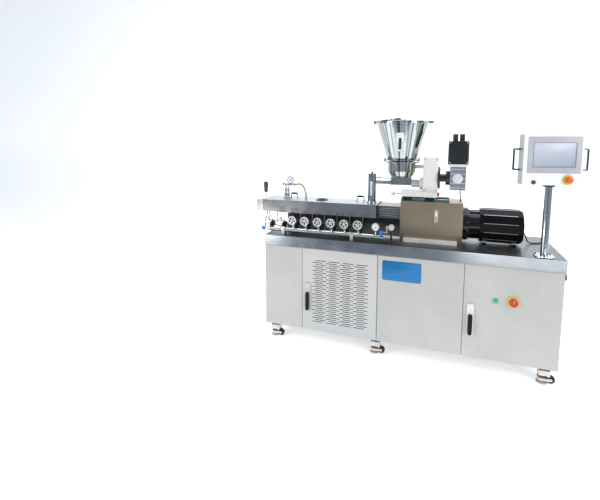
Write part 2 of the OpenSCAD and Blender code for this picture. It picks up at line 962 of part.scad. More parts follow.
module drive_coupling() color("gray") placed() {
    mid = (bell_x0 + bell_wall + motor_x0) / 2;
    along_x(gear_x1 - case_bore_l, motor_x0 + shaft_in_l, axis_y, motor_z, shaft_in_r);
    along_x(mid - spider_l / 2 - hub_l, mid - spider_l / 2, axis_y, motor_z, hub_r);
    along_x(mid + spider_l / 2, mid + spider_l / 2 + hub_l, axis_y, motor_z, hub_r);
    along_x(mid - spider_l / 2 - eps, mid + spider_l / 2 + eps, axis_y, motor_z, hub_r - rib_t);
    for (i = [0:jaws - 1]) {
        translate([mid - jaw_l / 2, axis_y, motor_z]) rotate([360 * i / jaws, 0, 0])
            translate([0, -jaw_l / 2, 0]) cube([jaw_l, jaw_l, spider_r]);
    }
}

module main_motor() color("dimgray") placed() {
    r = motor_w / 2 / cos(180 / motor_sides);
    turn = 180 / motor_sides;
    difference() {
        union() {
            translate([motor_x0, axis_y, motor_z]) rotate([0, 90, 0]) rotate([0, 0, turn])
                cylinder(r = r, h = motor_l - motor_chamfer, $fn = motor_sides);
            translate([motor_x0, axis_y, motor_z]) rotate([0, 90, 0]) rotate([0, 0, turn])
                cylinder(r = r - motor_chamfer / 2, h = motor_l, $fn = motor_sides);
            for (i = [0:motor_sides - 1]) {
                translate([motor_x0 + motor_end, axis_y, motor_z])
                    rotate([360 * (i + 0.5) / motor_sides, 0, 0])
                    translate([0, -fin_w / 2, 0])
                        cube([motor_l - 2 * motor_end - motor_chamfer, fin_w, r + fin_out]);
            }
            for (x = [motor_x0 + motor_end, motor_x1 - motor_end - motor_chamfer - jbox_h]) {
                block(x, x + jbox_h, axis_y - jbox_w, axis_y + jbox_w, bench_h, motor_z);
            }
        }
        along_x(motor_x0 - over, motor_x0 + shaft_in_l + thin, axis_y, motor_z, shaft_in_r + fit);
    }
}

module lantern() color("slategray") placed() {
    y0 = axis_y - lantern_d / 2;
    y1 = axis_y + lantern_d / 2;
    z0 = axis_z - lantern_h / 2;
    z1 = axis_z + lantern_h / 2;
    x0 = lantern_x0;
    x1 = gear_x0;
    l = (x1 - x0) * louvre_l_share;
    step = lantern_h / (louvres + 1);
    difference() {
        block(x0, x1, y0, y1, z0, z1);
        block(x0 - over, x1 + over, y0 + lantern_t, y1 - lantern_t, z0 + lantern_t, z1 - lantern_t);
        for (i = [1:louvres]) {
            block((x0 + x1 - l) / 2, (x0 + x1 + l) / 2, y0 - over, y1 + over,
                z0 + i * step - louvre_h / 2, z0 + i * step + louvre_h / 2);
        }
    }
    for (i = [1:louvres]) {
        for (s = [-1, 1]) {
            translate([(x0 + x1 - l) / 2, axis_y + s * (lantern_d / 2 - lantern_t / 2),
                z0 + i * step + louvre_h / 2])
                rotate([s * louvre_turn, 0, 0]) translate([0, -thin / 2, -louvre_h])
                    cube([l, thin, louvre_h + thin / 2]);
        }
    }
}

// Barrel and screws
screw_pitch = 44;
turns_per_block = [5, 3, 2, 2];
disc_count = 15;
disc_turn = 45;
disc_gap = 0.5;
core_r = shaft_r - thin;
tip_l = 21;
blocks = len(turns_per_block) - 1;
function sum_to(v, n, i = 0) = i < n ? v[i] + sum_to(v, n, i + 1) : 0;
turn_sum = [for (i = [0:len(turns_per_block)]) sum_to(turns_per_block, i)];
disc_l = (barrel_l - tip_l - screw_pitch * turn_sum[blocks + 1]) / (disc_count * blocks);
slices_per_turn = 8;
tip_angle = 90 - 2 * acos(screw_c / screw_d);
flank_angle = 90 - tip_angle;
flank_steps = 3;

// Radius of a two lobed self wiping screw, at an angle from the middle of a tip
function lobe_r(a) =
    a <= tip_angle / 2 ? screw_d / 2 :
    a >= 90 - tip_angle / 2 ? screw_c - screw_d / 2 :
    let (f = 90 - tip_angle / 2 - a)
    sqrt(screw_c * screw_c - pow(screw_d / 2 * sin(f), 2)) - screw_d / 2 * cos(f);
lobe_angles = concat([for (k = [0:flank_steps]) tip_angle / 2 + flank_angle * k / flank_steps]);
lobe_turn = concat(
    lobe_angles,
    [for (k = [flank_steps:-1:0]) 180 - lobe_angles[k]]
);
lobe_all = concat(lobe_turn, [for (a = lobe_turn) a + 180]);
function fold(a) = let (m = a % 180) m > 90 ? 180 - m : m;

module lobes() {
    polygon([for (a = lobe_all) (lobe_r(fold(a)) - screw_gap) * [cos(a), sin(a)]]);
}

module kneading_block(l) {
    for (k = [0:disc_count - 1]) {
        translate([0, 0, k * l + disc_gap / 2]) rotate([0, 0, -k * disc_turn])
            linear_extrude(l - disc_gap) lobes();
    }
}

// A screw along its own Z, from the gearbox end towards the die
module screw_body() {
    block_l = disc_l * disc_count;
    for (i = [0:blocks]) {
        z = turn_sum[i] * screw_pitch + i * block_l;
        l = turns_per_block[i] * screw_pitch;
        translate([0, 0, z + disc_gap / 2])
            linear_extrude(l - disc_gap, twist = 360 * turns_per_block[i],
                slices = slices_per_turn * turns_per_block[i], segments = len(lobe_all)) lobes();
        if (i < blocks) {
            translate([0, 0, z + l]) kneading_block(block_l / disc_count);
        }
    }
    core = barrel_l - tip_l;
    back = gear_x0 + case_bore_l - barrel_x1;
    translate([0, 0, -back]) cylinder(r = shaft_r, h = back);
    translate([0, 0, -over]) cylinder(r = core_r, h = core + over);
    translate([0, 0, core - 2 * disc_gap]) cylinder(r1 = core_r, r2 = thin, h = tip_l);
}

module screw(side, phase) {
    translate([barrel_x1, axis_y + side * screw_c / 2, axis_z]) rotate([0, -90, 0]) rotate([0, 0, phase])
        screw_body();
}

module front_screw() color("lightsteelblue") placed() screw(-1, 0);
module rear_screw() color("lightsteelblue") placed() screw(1, 90);

module barrel() color("slategray") placed() difference() {
    union() {
        block(barrel_x0, barrel_x1 + eps, axis_y - barrel_w / 2, axis_y + barrel_w / 2, barrel_z0, barrel_z1);
        block(barrel_x1, lantern_x0, axis_y - end_flange_d / 2, axis_y + end_flange_d / 2,
            axis_z - end_flange_h / 2, axis_z + end_flange_h / 2);
        for (share = stand_xs_share) {
            x = barrel_x0 + barrel_l * share;
            block(x - stand_t / 2, x + stand_t / 2, axis_y - stand_w / 2, axis_y + stand_w / 2, bench_h,
                barrel_z0 + eps);
            block(x - stand_foot_l / 2, x + stand_foot_l / 2, axis_y - stand_foot_w / 2,
                axis_y + stand_foot_w / 2,
                bench_h, bench_h + stand_foot_t);
        }
    }
    for (s = [-1, 1]) {
        along_x(barrel_x0 - over, lantern_x0 + over, axis_y + s * screw_c / 2, axis_z, screw_d / 2);
    }
    for (i = [1:sections - 1]) {
        x = barrel_x0 + i * section_l;
        for (s = [-1, 1]) {
            y = axis_y + s * barrel_w / 2;
            z = axis_z + s * barrel_w / 2;
            block(x - groove / 2, x + groove / 2, y - groove, y + groove, barrel_z0 - over, barrel_z1 + over);
            block(x - groove / 2, x + groove / 2, axis_y - barrel_w, axis_y + barrel_w, z - groove,
                z + groove);
        }
    }
    for (x = [port_x, vent_port_x, vent_tube_x]) {
        translate([barrel_x0 + x, axis_y, axis_z]) cylinder(r = port_r, h = barrel_w);
    }
}

cover_x0 = barrel_x0 + air;
cover_x1 = barrel_x1 - air;

module cover_handle(x) {
    reach = grip_l / 2 + grip_arm_r + over;
    for (s = [-1, 1]) {
        translate([x + s * reach, axis_y, cover_z1 + fit]) cylinder(r = grip_arm_r, h = grip_up - fit);
        translate([x + s * reach, axis_y, cover_z1 + grip_up]) sphere(r = grip_elbow_r);
    }
    along_x(x - reach, x + reach, axis_y, cover_z1 + grip_up, grip_arm_r);
    along_x(x - grip_l / 2, x + grip_l / 2, axis_y, cover_z1 + grip_up, grip_r);
}

// A lid sheet on four side sheets
module barrel_cover() color("lightgray") placed() {
    under = cover_z1 - sheet_t;
    difference() {
        block(cover_x0, cover_x1, cover_y0, cover_y0 + cover_d, under, cover_z1);
        translate([chute_x, axis_y, cover_z1 - cover_lip]) cylinder(r = chute_r + air, h = 2 * cover_lip);
        for (x = [vent_port_x, vent_tube_x]) {
            translate([barrel_x0 + x, axis_y, cover_z1 - cover_lip]) cylinder(r = port_r, h = 2 * cover_lip);
        }
    }
    for (y = [cover_y0, cover_y0 + cover_d - sheet_t]) {
        block(cover_x0, cover_x1, y, y + sheet_t, cover_z0, under - fit);
    }
    difference() {
        for (x = [cover_x0, cover_x1 - sheet_t]) {
            block(x, x + sheet_t, cover_y0 + sheet_t + fit, cover_y0 + cover_d - sheet_t - fit, cover_z0,
                under - fit);
        }
        block(cover_x0 - over, cover_x1 + over, axis_y - barrel_w / 2 - air, axis_y + barrel_w / 2 + air,
            cover_z0 - over, barrel_z1 + air);
    }
    for (x = grip_xs) {
        cover_handle(barrel_x0 + x);
    }
}

module bolt_ring(n, r, d, h) {
    for (i = [0:n - 1]) {
        rotate([0, 0, 360 * (i + 0.5) / n]) translate([r, 0, 0]) cylinder(r = d / 2, h = h);
    }
}

guard_x0 = die_x0;
guard_x1 = barrel_x0;
guard_rows = 5;

module die_head() color("silver") placed() {
    body_x = barrel_x0 - die_flange_t;
    plate_x = body_x - die_body_l;
    difference() {
        union() {
            block(body_x, barrel_x0, axis_y - die_flange_w / 2, axis_y + die_flange_w / 2,
                axis_z - die_flange_w / 2, axis_z + die_flange_w / 2);
            along_x(plate_x, body_x + eps, axis_y, axis_z, die_body_r);
            along_x(die_x0, plate_x + eps, axis_y, axis_z, die_plate_r);
            block(guard_x1 - guard_t, guard_x1, cover_y0, cover_y0 + cover_d, cover_z0, cover_z1);
        }
        along_x(plate_x + thin, barrel_x0 + over, axis_y, axis_z, melt_r);
        translate([die_x0 - over, axis_y, axis_z]) rotate([0, 90, 0])
            bolt_ring(die_bolts, die_bolt_pcd / 2, 2 * die_bolt_r, die_plate_t + die_body_l / 2 + over);
        for (k = [0:strands - 1]) {
            along_x(die_x0 - over, plate_x + thin + over, axis_y + (k - (strands - 1) / 2) * strand_dy,
                axis_z, strand_r);
        }
    }
    difference() {
        block(guard_x0, guard_x1 - guard_t + eps, cover_y0, cover_y0 + cover_d, cover_z0, cover_z1);
        block(guard_x0 + guard_t, guard_x1, cover_y0 + guard_t, cover_y0 + cover_d - guard_t,
            cover_z0 - over, cover_z1 - guard_t);
        along_x(guard_x0 - over, guard_x0 + 2 * guard_t, axis_y, axis_z, guard_window_r);
        for (i = [0:2]) {
            for (k = [0:guard_rows - 1]) {
                along_y(cover_y0 - over, cover_y0 + cover_d + over,
                    (guard_x0 + guard_x1) / 2 + (i - 1) * guard_step,
                    axis_z + (k - (guard_rows - 1) / 2) * guard_step, guard_hole);
            }
        }
    }
    knob_x = (guard_x0 + guard_x1) / 2;
    translate([knob_x, axis_y, cover_z1 - eps]) cylinder(r = knob_rod_r, h = knob_z0 - cover_z1 + thin);
    translate([knob_x, axis_y, knob_z0]) rotate_extrude() polygon([
        [0, 0], [knob_r0, 0], [knob_r1, knob_h - knob_r1], [knob_r1 - thin, knob_h - knob_r1 / 2],
        [knob_r0, knob_h - thin], [knob_r0 / 2, knob_h], [0, knob_h]
    ]);
}

twin_dx = 12;
cross_r = 8;
cross_down = 6;
hose_x = 154;

module vent_unit() color("silver") placed() {
    x = barrel_x0 + vent_tube_x;
    top = cover_z1 + twin_flange_t + twin_h;
    translate([x, axis_y, barrel_z1]) cylinder(r = port_r - air, h = cover_z1 - barrel_z1 + eps);
    translate([x, axis_y, cover_z1]) cylinder(r = twin_flange_r, h = twin_flange_t);
    for (s = [-1, 1]) {
        translate([x + s * twin_dx, axis_y, cover_z1 + twin_flange_t - eps]) cylinder(r = twin_r, h = twin_h);
    }
    z = top - cross_down;
    along_x(x - twin_dx, hose_x - hose_r + eps, axis_y, z, cross_r);
    along_x(x - twin_dx - twin_r - vent_knob_l, x - twin_dx, axis_y, z, stem_hand_r);
    along_x(x - twin_dx - twin_r - vent_knob_l, x - twin_dx - twin_r - vent_knob_l / 2, axis_y, z,
        vent_knob_r);
    dial_x = x + dial_dx;
    dial_z = cover_z1 + dial_up;
    translate([dial_x, axis_y, z]) cylinder(r = stem_hand_r, h = dial_z - z);
    along_y(axis_y - dial_t / 2, axis_y + dial_t / 2, dial_x, dial_z, dial_r - thin);
    along_y(axis_y - dial_t / 2 - thin, axis_y - dial_t / 2 + 2 * thin, dial_x, dial_z, dial_r);
    cx = barrel_x0 + vent_port_x;
    translate([cx, axis_y, cover_z1]) cylinder(r = vent_cap_r, h = vent_cap_t / 2);
    translate([cx, axis_y, cover_z1]) cylinder(r = vent_neck_r, h = vent_cap_t);
    translate([cx, axis_y, barrel_z1]) cylinder(r = port_r - air, h = cover_z1 - barrel_z1 + eps);
    ribbed_hose(hose_route, hose_r, hose_rib_r, 4);
}

// Cooling water
function zone_x(k) = wheel_x0 + k * zone_pitch;
stub_r = 7;
collar_h = 14;
valve_low = 9;
bonnet_y1 = 66;
pipe_r = pipe_d / 2;
branch_x = 905;
inlet_x0 = pipe_x0 + pipe_r - sqrt(pipe_r * pipe_r - inlet_r * inlet_r);
end_cap_l = 30;
end_cap_wall = 2.5;

module cooling_manifold() color("silver") placed() {
    difference() {
        union() {
            along_x(pipe_x0 + pipe_r, pipe_x1, pipe_y, pipe_z, pipe_r);
            translate([pipe_x0 + pipe_r, pipe_y, pipe_z]) sphere(r = pipe_r);
            along_x(pipe_x1 - end_cap_l, pipe_x1, pipe_y, pipe_z, pipe_r + end_cap_wall);
            for (x = clip_xs) {
                block(x - clip_w / 2, x + clip_w / 2, pipe_y - clip_d / 2, pipe_y + clip_d / 2, bench_h,
                    bench_h + clip_h);
            }
        }
        along_x(pipe_x0 - over, inlet_x0 + inlet_l, pipe_y, pipe_z, inlet_r);
    }
    for (k = [0:zones - 1]) {
        translate([zone_x(k), pipe_y, pipe_z]) cylinder(r = stub_r, h = pipe_r + valve_low);
    }
}

module zone_valve(x) {
    low = pipe_z + pipe_r + valve_low;
    coil_z = coil_z0 + coil_h / 2;
    difference() {
        union() {
            translate([x, pipe_y, low]) cylinder(r = valve_r, h = valve_z - low);
            translate([x, pipe_y, valve_z]) sphere(r = globe_r);
            translate([x, pipe_y, low]) cylinder(r = valve_hex_r, h = collar_h, $fn = 6);
            along_y(bonnet_y0, pipe_y, x, valve_z, bonnet_r);
        }
        along_y(bonnet_y0 - over, bonnet_y1, x, valve_z, stem_hand_r + fit);
    }
    along_y(pipe_y + stub_r + fit, coil_y0 + eps, x, coil_z, nipple_r);
    block(x - coil_w / 2, x + coil_w / 2, coil_y0, coil_y0 + coil_d, coil_z0, coil_z0 + coil_h);
    translate([x, coil_y0 + coil_d / 2, coil_z0 + coil_h - eps]) cylinder(r = valve_hex_r, h = valve_hex_r);
    along_y(coil_y0 + coil_d - eps, riser_y, x, coil_z, tube_r);
    translate([x, riser_y, coil_z]) sphere(r = elbow_r);
    translate([x, riser_y, coil_z]) cylinder(r = tube_r, h = axis_z - barrel_w / 4 - coil_z);
    translate([x, riser_y, axis_z - barrel_w / 4]) sphere(r = elbow_r);
    along_y(riser_y, axis_y - barrel_w / 2, x, axis_z - barrel_w / 4, tube_r);
}

ball_boss_y0 = 46;
ball_boss_r = 9;

module valve_blocks() color("goldenrod") placed() {
    for (k = [0:zones - 1]) {
        zone_valve(zone_x(k));
    }
    translate([gauge_x, pipe_y, pipe_z + pipe_r]) cylinder(r = tube_r, h = gauge_z - pipe_z - pipe_r);
    along_y(pipe_y - gauge_t / 2, pipe_y + gauge_t / 2, gauge_x, gauge_z, gauge_r);
    cap_z1 = pipe_z + pipe_r + end_cap_wall;
    translate([ball_x, pipe_y, cap_z1]) cylinder(r = stub_r, h = ball_z - cap_z1);
    difference() {
        union() {
            translate([ball_x, pipe_y, ball_z]) sphere(r = ball_r + thin);
            along_y(ball_boss_y0, pipe_y, ball_x, ball_z, ball_boss_r);
        }
        along_y(ball_boss_y0 - over, pipe_y - stub_r, ball_x, ball_z, stem_hand_r + fit);
    }
    along_x(ball_x, branch_x, pipe_y, ball_z, stub_r);
    translate([branch_x, pipe_y, ball_z]) sphere(r = stub_r + thin);
    translate([branch_x, pipe_y, ball_z]) cylinder(r = stub_r, h = filter_z - ball_z);
    translate([branch_x, pipe_y, filter_z]) sphere(r = stub_r + thin);
    along_x(branch_x, filter_x, pipe_y, filter_z, stub_r);
    along_y(pipe_y - filter_t / 2, pipe_y + filter_t / 2, filter_x, filter_z, filter_r);
    translate([filter_x - filter_post_w / 2, pipe_y - filter_post_w / 2, bench_h])
        cube([filter_post_w, filter_post_w, filter_z - filter_r - bench_h + thin]);
}

module ball_valve_lever() color("royalblue") placed() {
    y1 = ball_boss_y0 - air;
    along_y(y1 - eps, pipe_y - stub_r - air, ball_x, ball_z, stem_hand_r);
    front_plate(ball_x, y1, ball_z, ball_arm_w, ball_arm_h, ball_arm_t, ball_arm_t);
}

module handwheel(x) color("silver") placed() {
    r = hand_d / 2;
    difference() {
        along_y(rim_y0, rim_y0 + rim_t, x, valve_z, r);
        along_y(rim_y0 - over, rim_y0 + rim_t + over, x, valve_z, r - rim_w);
        for (i = [0:scallops - 1]) {
            a = 360 * i / scallops;
            d = r + scallop_out;
            along_y(rim_y0 - over, rim_y0 + rim_t + over, x + d * cos(a), valve_z + d * sin(a), scallop_r);
        }
    }
    for (i = [0:spokes - 1]) {
        translate([x, rim_y0 + spoke_w / 4, valve_z]) rotate([0, -90 - 360 * i / spokes, 0])
            translate([0, 0, -spoke_w / 2]) cube([r - rim_w / 2, spoke_w, spoke_w]);
    }
    along_y(rim_y0 - thin, bonnet_y0 - air, x, valve_z, hand_hub_r);
    along_y(rim_y0, bonnet_y1 - air, x, valve_z, stem_hand_r);
}

// Feeder
rail_in = 3;
rail_lip = 5;

module rail_shape(extra) {
    difference() {
        translate([-rail_w / 2 - extra, 0]) square([rail_w + 2 * extra, rail_h + extra]);
        for (s = [-1, 1]) {
            translate([s * (rail_w / 2 + extra) - rail_in, rail_h / 2 - rail_lip / 2 + extra])
                square([2 * rail_in, rail_lip - 2 * extra]);
        }
    }
}

module on_rail(x, y, l) {
    translate([x, y, gear_z1]) rotate([90, 0, 90]) linear_extrude(l) children();
}

module feeder_rails() color("gray") placed() {
    for (s = [-1, 1]) {
        on_rail(rail_x0, axis_y + s * rail_dy / 2, rail_l) rail_shape(0);
    }
}

pull_y = axis_y - base_w / 2 + pull_ball_r;
base_r = 10;

module feeder_base() color("whitesmoke") placed() {
    for (s = [-1, 1]) {
        for (x = car_xs) {
            on_rail(rail_x0 + x, axis_y + s * rail_dy / 2, car_l) difference() {
                translate([-car_w / 2, car_gap]) square([car_w, car_h + eps]);
                translate([0, -eps]) rail_shape(air);
            }
        }
    }
    difference() {
        union() {
            translate([(base_x0 + base_x1) / 2, axis_y, base_z0]) linear_extrude(base_t)
                rounded(base_x1 - base_x0, base_w, base_r);
            along_x(base_x0 - pull_l, base_x0 + base_r, pull_y, base_z0 + base_t / 2, pull_r);
            translate([base_x0 - pull_l, pull_y, base_z0 + base_t / 2]) sphere(r = pull_ball_r);
        }
        along_x(base_x1 - lock_pin_l - over, base_x1 + over, pull_y + base_r,
            base_z1 - lock_knob_drop - lock_pin_r, lock_pin_r + fit);
    }
}

module feeder_lock_knob() color("firebrick") placed() {
    z = base_z1 - lock_knob_drop - lock_pin_r;
    y = pull_y + base_r;
    along_x(base_x1 - lock_pin_l, base_x1 + air + eps, y, z, lock_pin_r);
    translate([base_x1 + air, y, z]) rotate([0, 90, 0]) difference() {
        cylinder(r = lock_knob_r, h = lock_knob_t);
        for (i = [0:spokes]) {
            a = 360 * i / (spokes + 1);
            translate([(lock_knob_r + thin) * cos(a), (lock_knob_r + thin) * sin(a), -over])
                cylinder(r = 2 * thin, h = lock_knob_t + 2 * over);
        }
    }
}

box_mid = (box_x0 + box_x1) / 2;
gear_bore_x = box_x0 + case_bore_l;

module feeder_drive_box() color("white") placed() difference() {
    union() {
        translate([box_mid, axis_y, base_z1]) linear_extrude(feeder_box_z1 - base_z1)
            rounded(box_x1 - box_x0, feeder_box_d, feeder_box_r);
        along_x(trough_x1, box_x0 + eps, axis_y, auger_z, adapter_r);
        along_x(box_x0 - adapter_flange_t, box_x0 + eps, axis_y, auger_z, adapter_flange_r);
        along_x(hopper_x + bowl_d / 2 + air, box_x0 + eps, axis_y, stir_z, stir_sleeve_r);
    }
    along_x(trough_x1 - over, gear_bore_x + over, axis_y, auger_z, auger_shaft_r + fit);
    along_x(hopper_x + bowl_d / 2 - over, gear_bore_x + over, axis_y, stir_z, stir_r + fit);
}

worm_x0 = box_x1 + spool_t + spool_neck_l + spool_end_t;
worm_mid = worm_x0 + worm_l / 2;
worm_z = auger_z + drive_up;
worm_z1 = worm_z + worm_h / 2 + thin;
worm_z0 = worm_z1 - worm_h;
motor_up_z = worm_z1 + feeder_plate_t;
fmotor_mid = worm_mid - thin;
plug_dx = 22;
plug_y = 14;

module feeder_motor() color("dimgray") placed() {
    a = box_x1 + spool_t;
    along_x(box_x1, a, axis_y, worm_z, spool_r);
    along_x(a - eps, a + spool_neck_l + eps, axis_y, worm_z, spool_neck_r);
    along_x(a + spool_neck_l, worm_x0 + eps, axis_y, worm_z, spool_end_r);
    block(worm_x0, worm_x0 + worm_l, axis_y - worm_d / 2, axis_y + worm_d / 2, worm_z0, worm_z1);
    for (i = [0:worm_ribs - 1]) {
        z = worm_z0 + (i + 0.5) * worm_h / worm_ribs;
        block(worm_x0 + worm_rib_t, worm_x0 + worm_l - worm_rib_t, axis_y - worm_d / 2 - worm_rib_out,
            axis_y + worm_d / 2 + worm_rib_out, z - worm_rib_t / 2, z + worm_rib_t / 2);
    }
    along_y(axis_y - worm_d / 2 - 2 * worm_rib_out, axis_y, worm_mid, worm_z, spool_neck_r);
    translate([fmotor_mid, axis_y, worm_z1 - eps]) linear_extrude(feeder_plate_t + eps)
        rounded(feeder_plate_l, feeder_plate_l, thin);
    translate([fmotor_mid, axis_y, motor_up_z - eps]) linear_extrude(fmotor_h)
        rounded(fmotor_w, fmotor_w, fmotor_r);
    for (s = [-1, 1]) {
        translate([fmotor_mid + s * plug_dx, axis_y - plug_y, motor_up_z + fmotor_h - thin])
            linear_extrude(plug_h + thin) rounded(plug_w, plug_w, plug_r);
    }
}

rod_x0 = chute_x + chute_r + air;
tube_x0 = chute_x + chute_r - wall - thin;
rod_z = auger_z + rod_up;
trough_half = 30;
bowl_slot = 60;
bowl_bend = 45;
channel_air = 1.2;
channel_r = auger_r + channel_air;

module bowl_wall(r, grow, z0) {
    rotate_extrude() polygon([
        [0, z0], [bowl_foot_r + grow, z0], [(bowl_foot_r + r) / 2 + grow * 2, z0 + bowl_bend / 4],
        [r, z0 + bowl_bend], [r, bowl_z1 + over], [0, bowl_z1 + over]
    ]);
}

module feeder_trough() color("silver") placed() difference() {
    union() {
        translate([hopper_x, axis_y, 0]) intersection() {
            bowl_wall(bowl_d / 2, 0, bowl_z0);
            translate([0, 0, bowl_z0]) cylinder(r = bowl_d, h = bowl_z1 - bowl_z0);
        }
        translate([hopper_x, axis_y, bowl_z1 - ring_t]) cylinder(r = bowl_d / 2 + ring_out, h = ring_t);
        block(trough_x0, trough_x1, axis_y - trough_half, axis_y + trough_half, auger_z - feed_tube_r,
            bowl_z0 + eps);
        along_x(tube_x0, trough_x0 + eps, axis_y, auger_z, feed_tube_r);
        along_x(trough_x0 - spool_t / 2, trough_x0 + eps, axis_y, auger_z, feed_tube_r + 2 * wall);
        along_x(rod_x0, trough_x0 + eps, axis_y, rod_z, rod_r);
        along_x(clamp_x - rod_r, clamp_x + rod_r, axis_y, rod_z, 2 * rod_r);
    }
    translate([hopper_x, axis_y, 0]) bowl_wall(bowl_d / 2 - wall, -wall, bowl_z0 + wall);
    block(hopper_x - bowl_slot, hopper_x + bowl_slot, axis_y - trough_half + wall,
        axis_y + trough_half - wall,
        auger_z + auger_r / 2, bowl_z0 + 2 * wall);
    along_x(tube_x0 - over, trough_x1 - wall, axis_y, auger_z, channel_r);
    block(hopper_x - bowl_slot, hopper_x + bowl_slot, axis_y - channel_r, axis_y + channel_r, auger_z,
        auger_z + auger_r);
    along_x(trough_x1 - 2 * wall, trough_x1 + over, axis_y, auger_z, auger_shaft_r + slack);
    along_x(hopper_x + bowl_d / 4, hopper_x + bowl_d, axis_y, stir_z, stir_r + slack);
}

auger_pitch = 30;
blade_t = 3;
auger_core_r = 5;

module feed_auger() color("silver") placed() {
    x1 = trough_x1 - wall - air;
    l = x1 - tube_x0;
    along_x(x1 - eps, gear_bore_x, axis_y, auger_z, auger_shaft_r);
    along_x(tube_x0, x1, axis_y, auger_z, auger_core_r);
    translate([tube_x0, axis_y, auger_z]) rotate([0, 90, 0])
        linear_extrude(l, twist = -360 * l / auger_pitch,
            slices = round(slices_per_turn * l / auger_pitch), segments = 4)
                translate([0, -blade_t / 2]) square([auger_r, blade_t]);
}

stir_x0 = hopper_x - stir_reach;
arm_xs_share = [0.08, 0.5, 0.92];

module agitator() color("silver") placed() {
    along_x(stir_x0, gear_bore_x, axis_y, stir_z, stir_r);
    for (i = [0:2]) {
        translate([stir_x0 + 2 * stir_reach * arm_xs_share[i], axis_y, stir_z]) rotate([60 * i, 0, 0])
            translate([0, 0, -stir_reach]) cylinder(r = stir_arm_r, h = 2 * stir_reach);
    }
}

cone_lip = 1;
cone_r0 = bowl_d / 2 + cone_lip;
cone_r1 = hopper_d / 2;
cone_tilt = atan((cone_r1 - cone_r0) / hopper_h);
clamps = 4;
clamp_w = 20;
clamp_h = 26;
clamp_t = 12;
lid_r = cone_r1 + rim_out;
lid_z = cone_z1 + rim_h;
lid_pin_x = hopper_x - lid_r - lid_knuckle_r;
lid_pin_z = lid_z + lid_knuckle_r;
lid_l = 36;
latch_w = 30;
latch_l = 22;
lid_knob_r = 12;
lid_knob_h = 22;

module half_lid(side) {
    intersection() {
        cylinder(r = lid_r - air, h = lid_t);
        translate([side > 0 ? lid_split / 2 : -2 * lid_r, -lid_r, -over])
            cube([2 * lid_r - lid_split / 2, 2 * lid_r, 2 * lid_t]);
    }
}

module hopper() color("silver") placed() {
    mid_z = (cone_z0 + cone_z1) / 2;
    mid_r = (cone_r0 + cone_r1) / 2;
    difference() {
        union() {
            translate([hopper_x, axis_y, cone_z0])
                cylinder(r1 = cone_r0, r2 = cone_r1, h = hopper_h, $fn = fine);
            translate([hopper_x, axis_y, cone_z0])
                cylinder(r = bowl_d / 2 + ring_out, h = ring_t, $fn = fine);
            translate([hopper_x, axis_y, cone_z1 - eps]) cylinder(r = lid_r, h = rim_h, $fn = fine);
            translate([hopper_x, axis_y - mid_r, mid_z]) rotate([-cone_tilt, 0, 0])
                front_plate(0, window_t, 0, window_w, window_l, 2 * window_t, window_t);
        }
        translate([hopper_x, axis_y, cone_z0 - eps])
            cylinder(r1 = cone_r0 - sheet_t, r2 = cone_r1 - sheet_t, h = hopper_h + 2 * eps, $fn = fine);
        translate([hopper_x, axis_y, cone_z1 - eps])
            cylinder(r = cone_r1 - sheet_t, h = rim_h + over, $fn = fine);
        translate([hopper_x, axis_y - mid_r, mid_z]) rotate([-cone_tilt, 0, 0])
            front_plate(0, 4 * window_t, 0, window_slot_w, window_slot_l, 8 * window_t,
                window_slot_w / 2 - eps);
    }
    for (i = [0:clamps - 1]) {
        translate([hopper_x, axis_y, cone_z0 + ring_t / 2]) rotate([0, 0, 360 * (i + 0.5) / clamps - 20])
            translate([bowl_d / 2 + ring_out + air, -clamp_w / 2, -clamp_h / 2])
                cube([clamp_t, clamp_w, clamp_h]);
    }
    translate([hopper_x, axis_y, lid_z]) half_lid(1);
    block(hopper_x + lid_r - thin, hopper_x + lid_r + latch_l, axis_y - latch_w / 2,
        axis_y + latch_w / 2, cone_z1, lid_z + lid_t);
    translate([hopper_x + lid_knob_r + 2 * lid_split, axis_y, lid_z + lid_t - eps])
        cylinder(r = lid_knob_r / 2, h = lid_knob_h);
    for (s = [-1, 1]) {
        y = axis_y + s * (lid_l / 2 + air + lid_ear_w / 2);
        block(lid_pin_x - lid_knuckle_r, hopper_x - lid_r + thin, y - lid_ear_w / 2, y + lid_ear_w / 2,
            cone_z1, lid_z - air);
        block(lid_pin_x - lid_knuckle_r, lid_pin_x + lid_knuckle_r, y - lid_ear_w / 2, y + lid_ear_w / 2,
            cone_z1, lid_pin_z);
        along_y(y - lid_ear_w / 2, y + lid_ear_w / 2, lid_pin_x, lid_pin_z, lid_knuckle_r);
    }
    along_y(axis_y - lid_l / 2 - lid_ear_w, axis_y + lid_l / 2 + lid_ear_w, lid_pin_x, lid_pin_z, lid_pin_r);
}

module hopper_lid() color("silver") placed() {
    translate([lid_pin_x, axis_y, lid_pin_z]) rotate([0, -lid_raise, 0]) difference() {
        union() {
            translate([hopper_x - lid_pin_x, 0, lid_z - lid_pin_z + air]) half_lid(-1);
            translate([0, lid_l / 2, 0]) rotate([90, 0, 0]) cylinder(r = lid_knuckle_r, h = lid_l);
            translate([0, -lid_l / 2, lid_z - lid_pin_z + air]) cube([3 * lid_knuckle_r, lid_l, lid_t]);
        }
        translate([0, lid_l, 0]) rotate([90, 0, 0]) cylinder(r = lid_pin_r + fit, h = 2 * lid_l);
    }
}

chute_cap_t = 5;
chute_pane_t = 3;

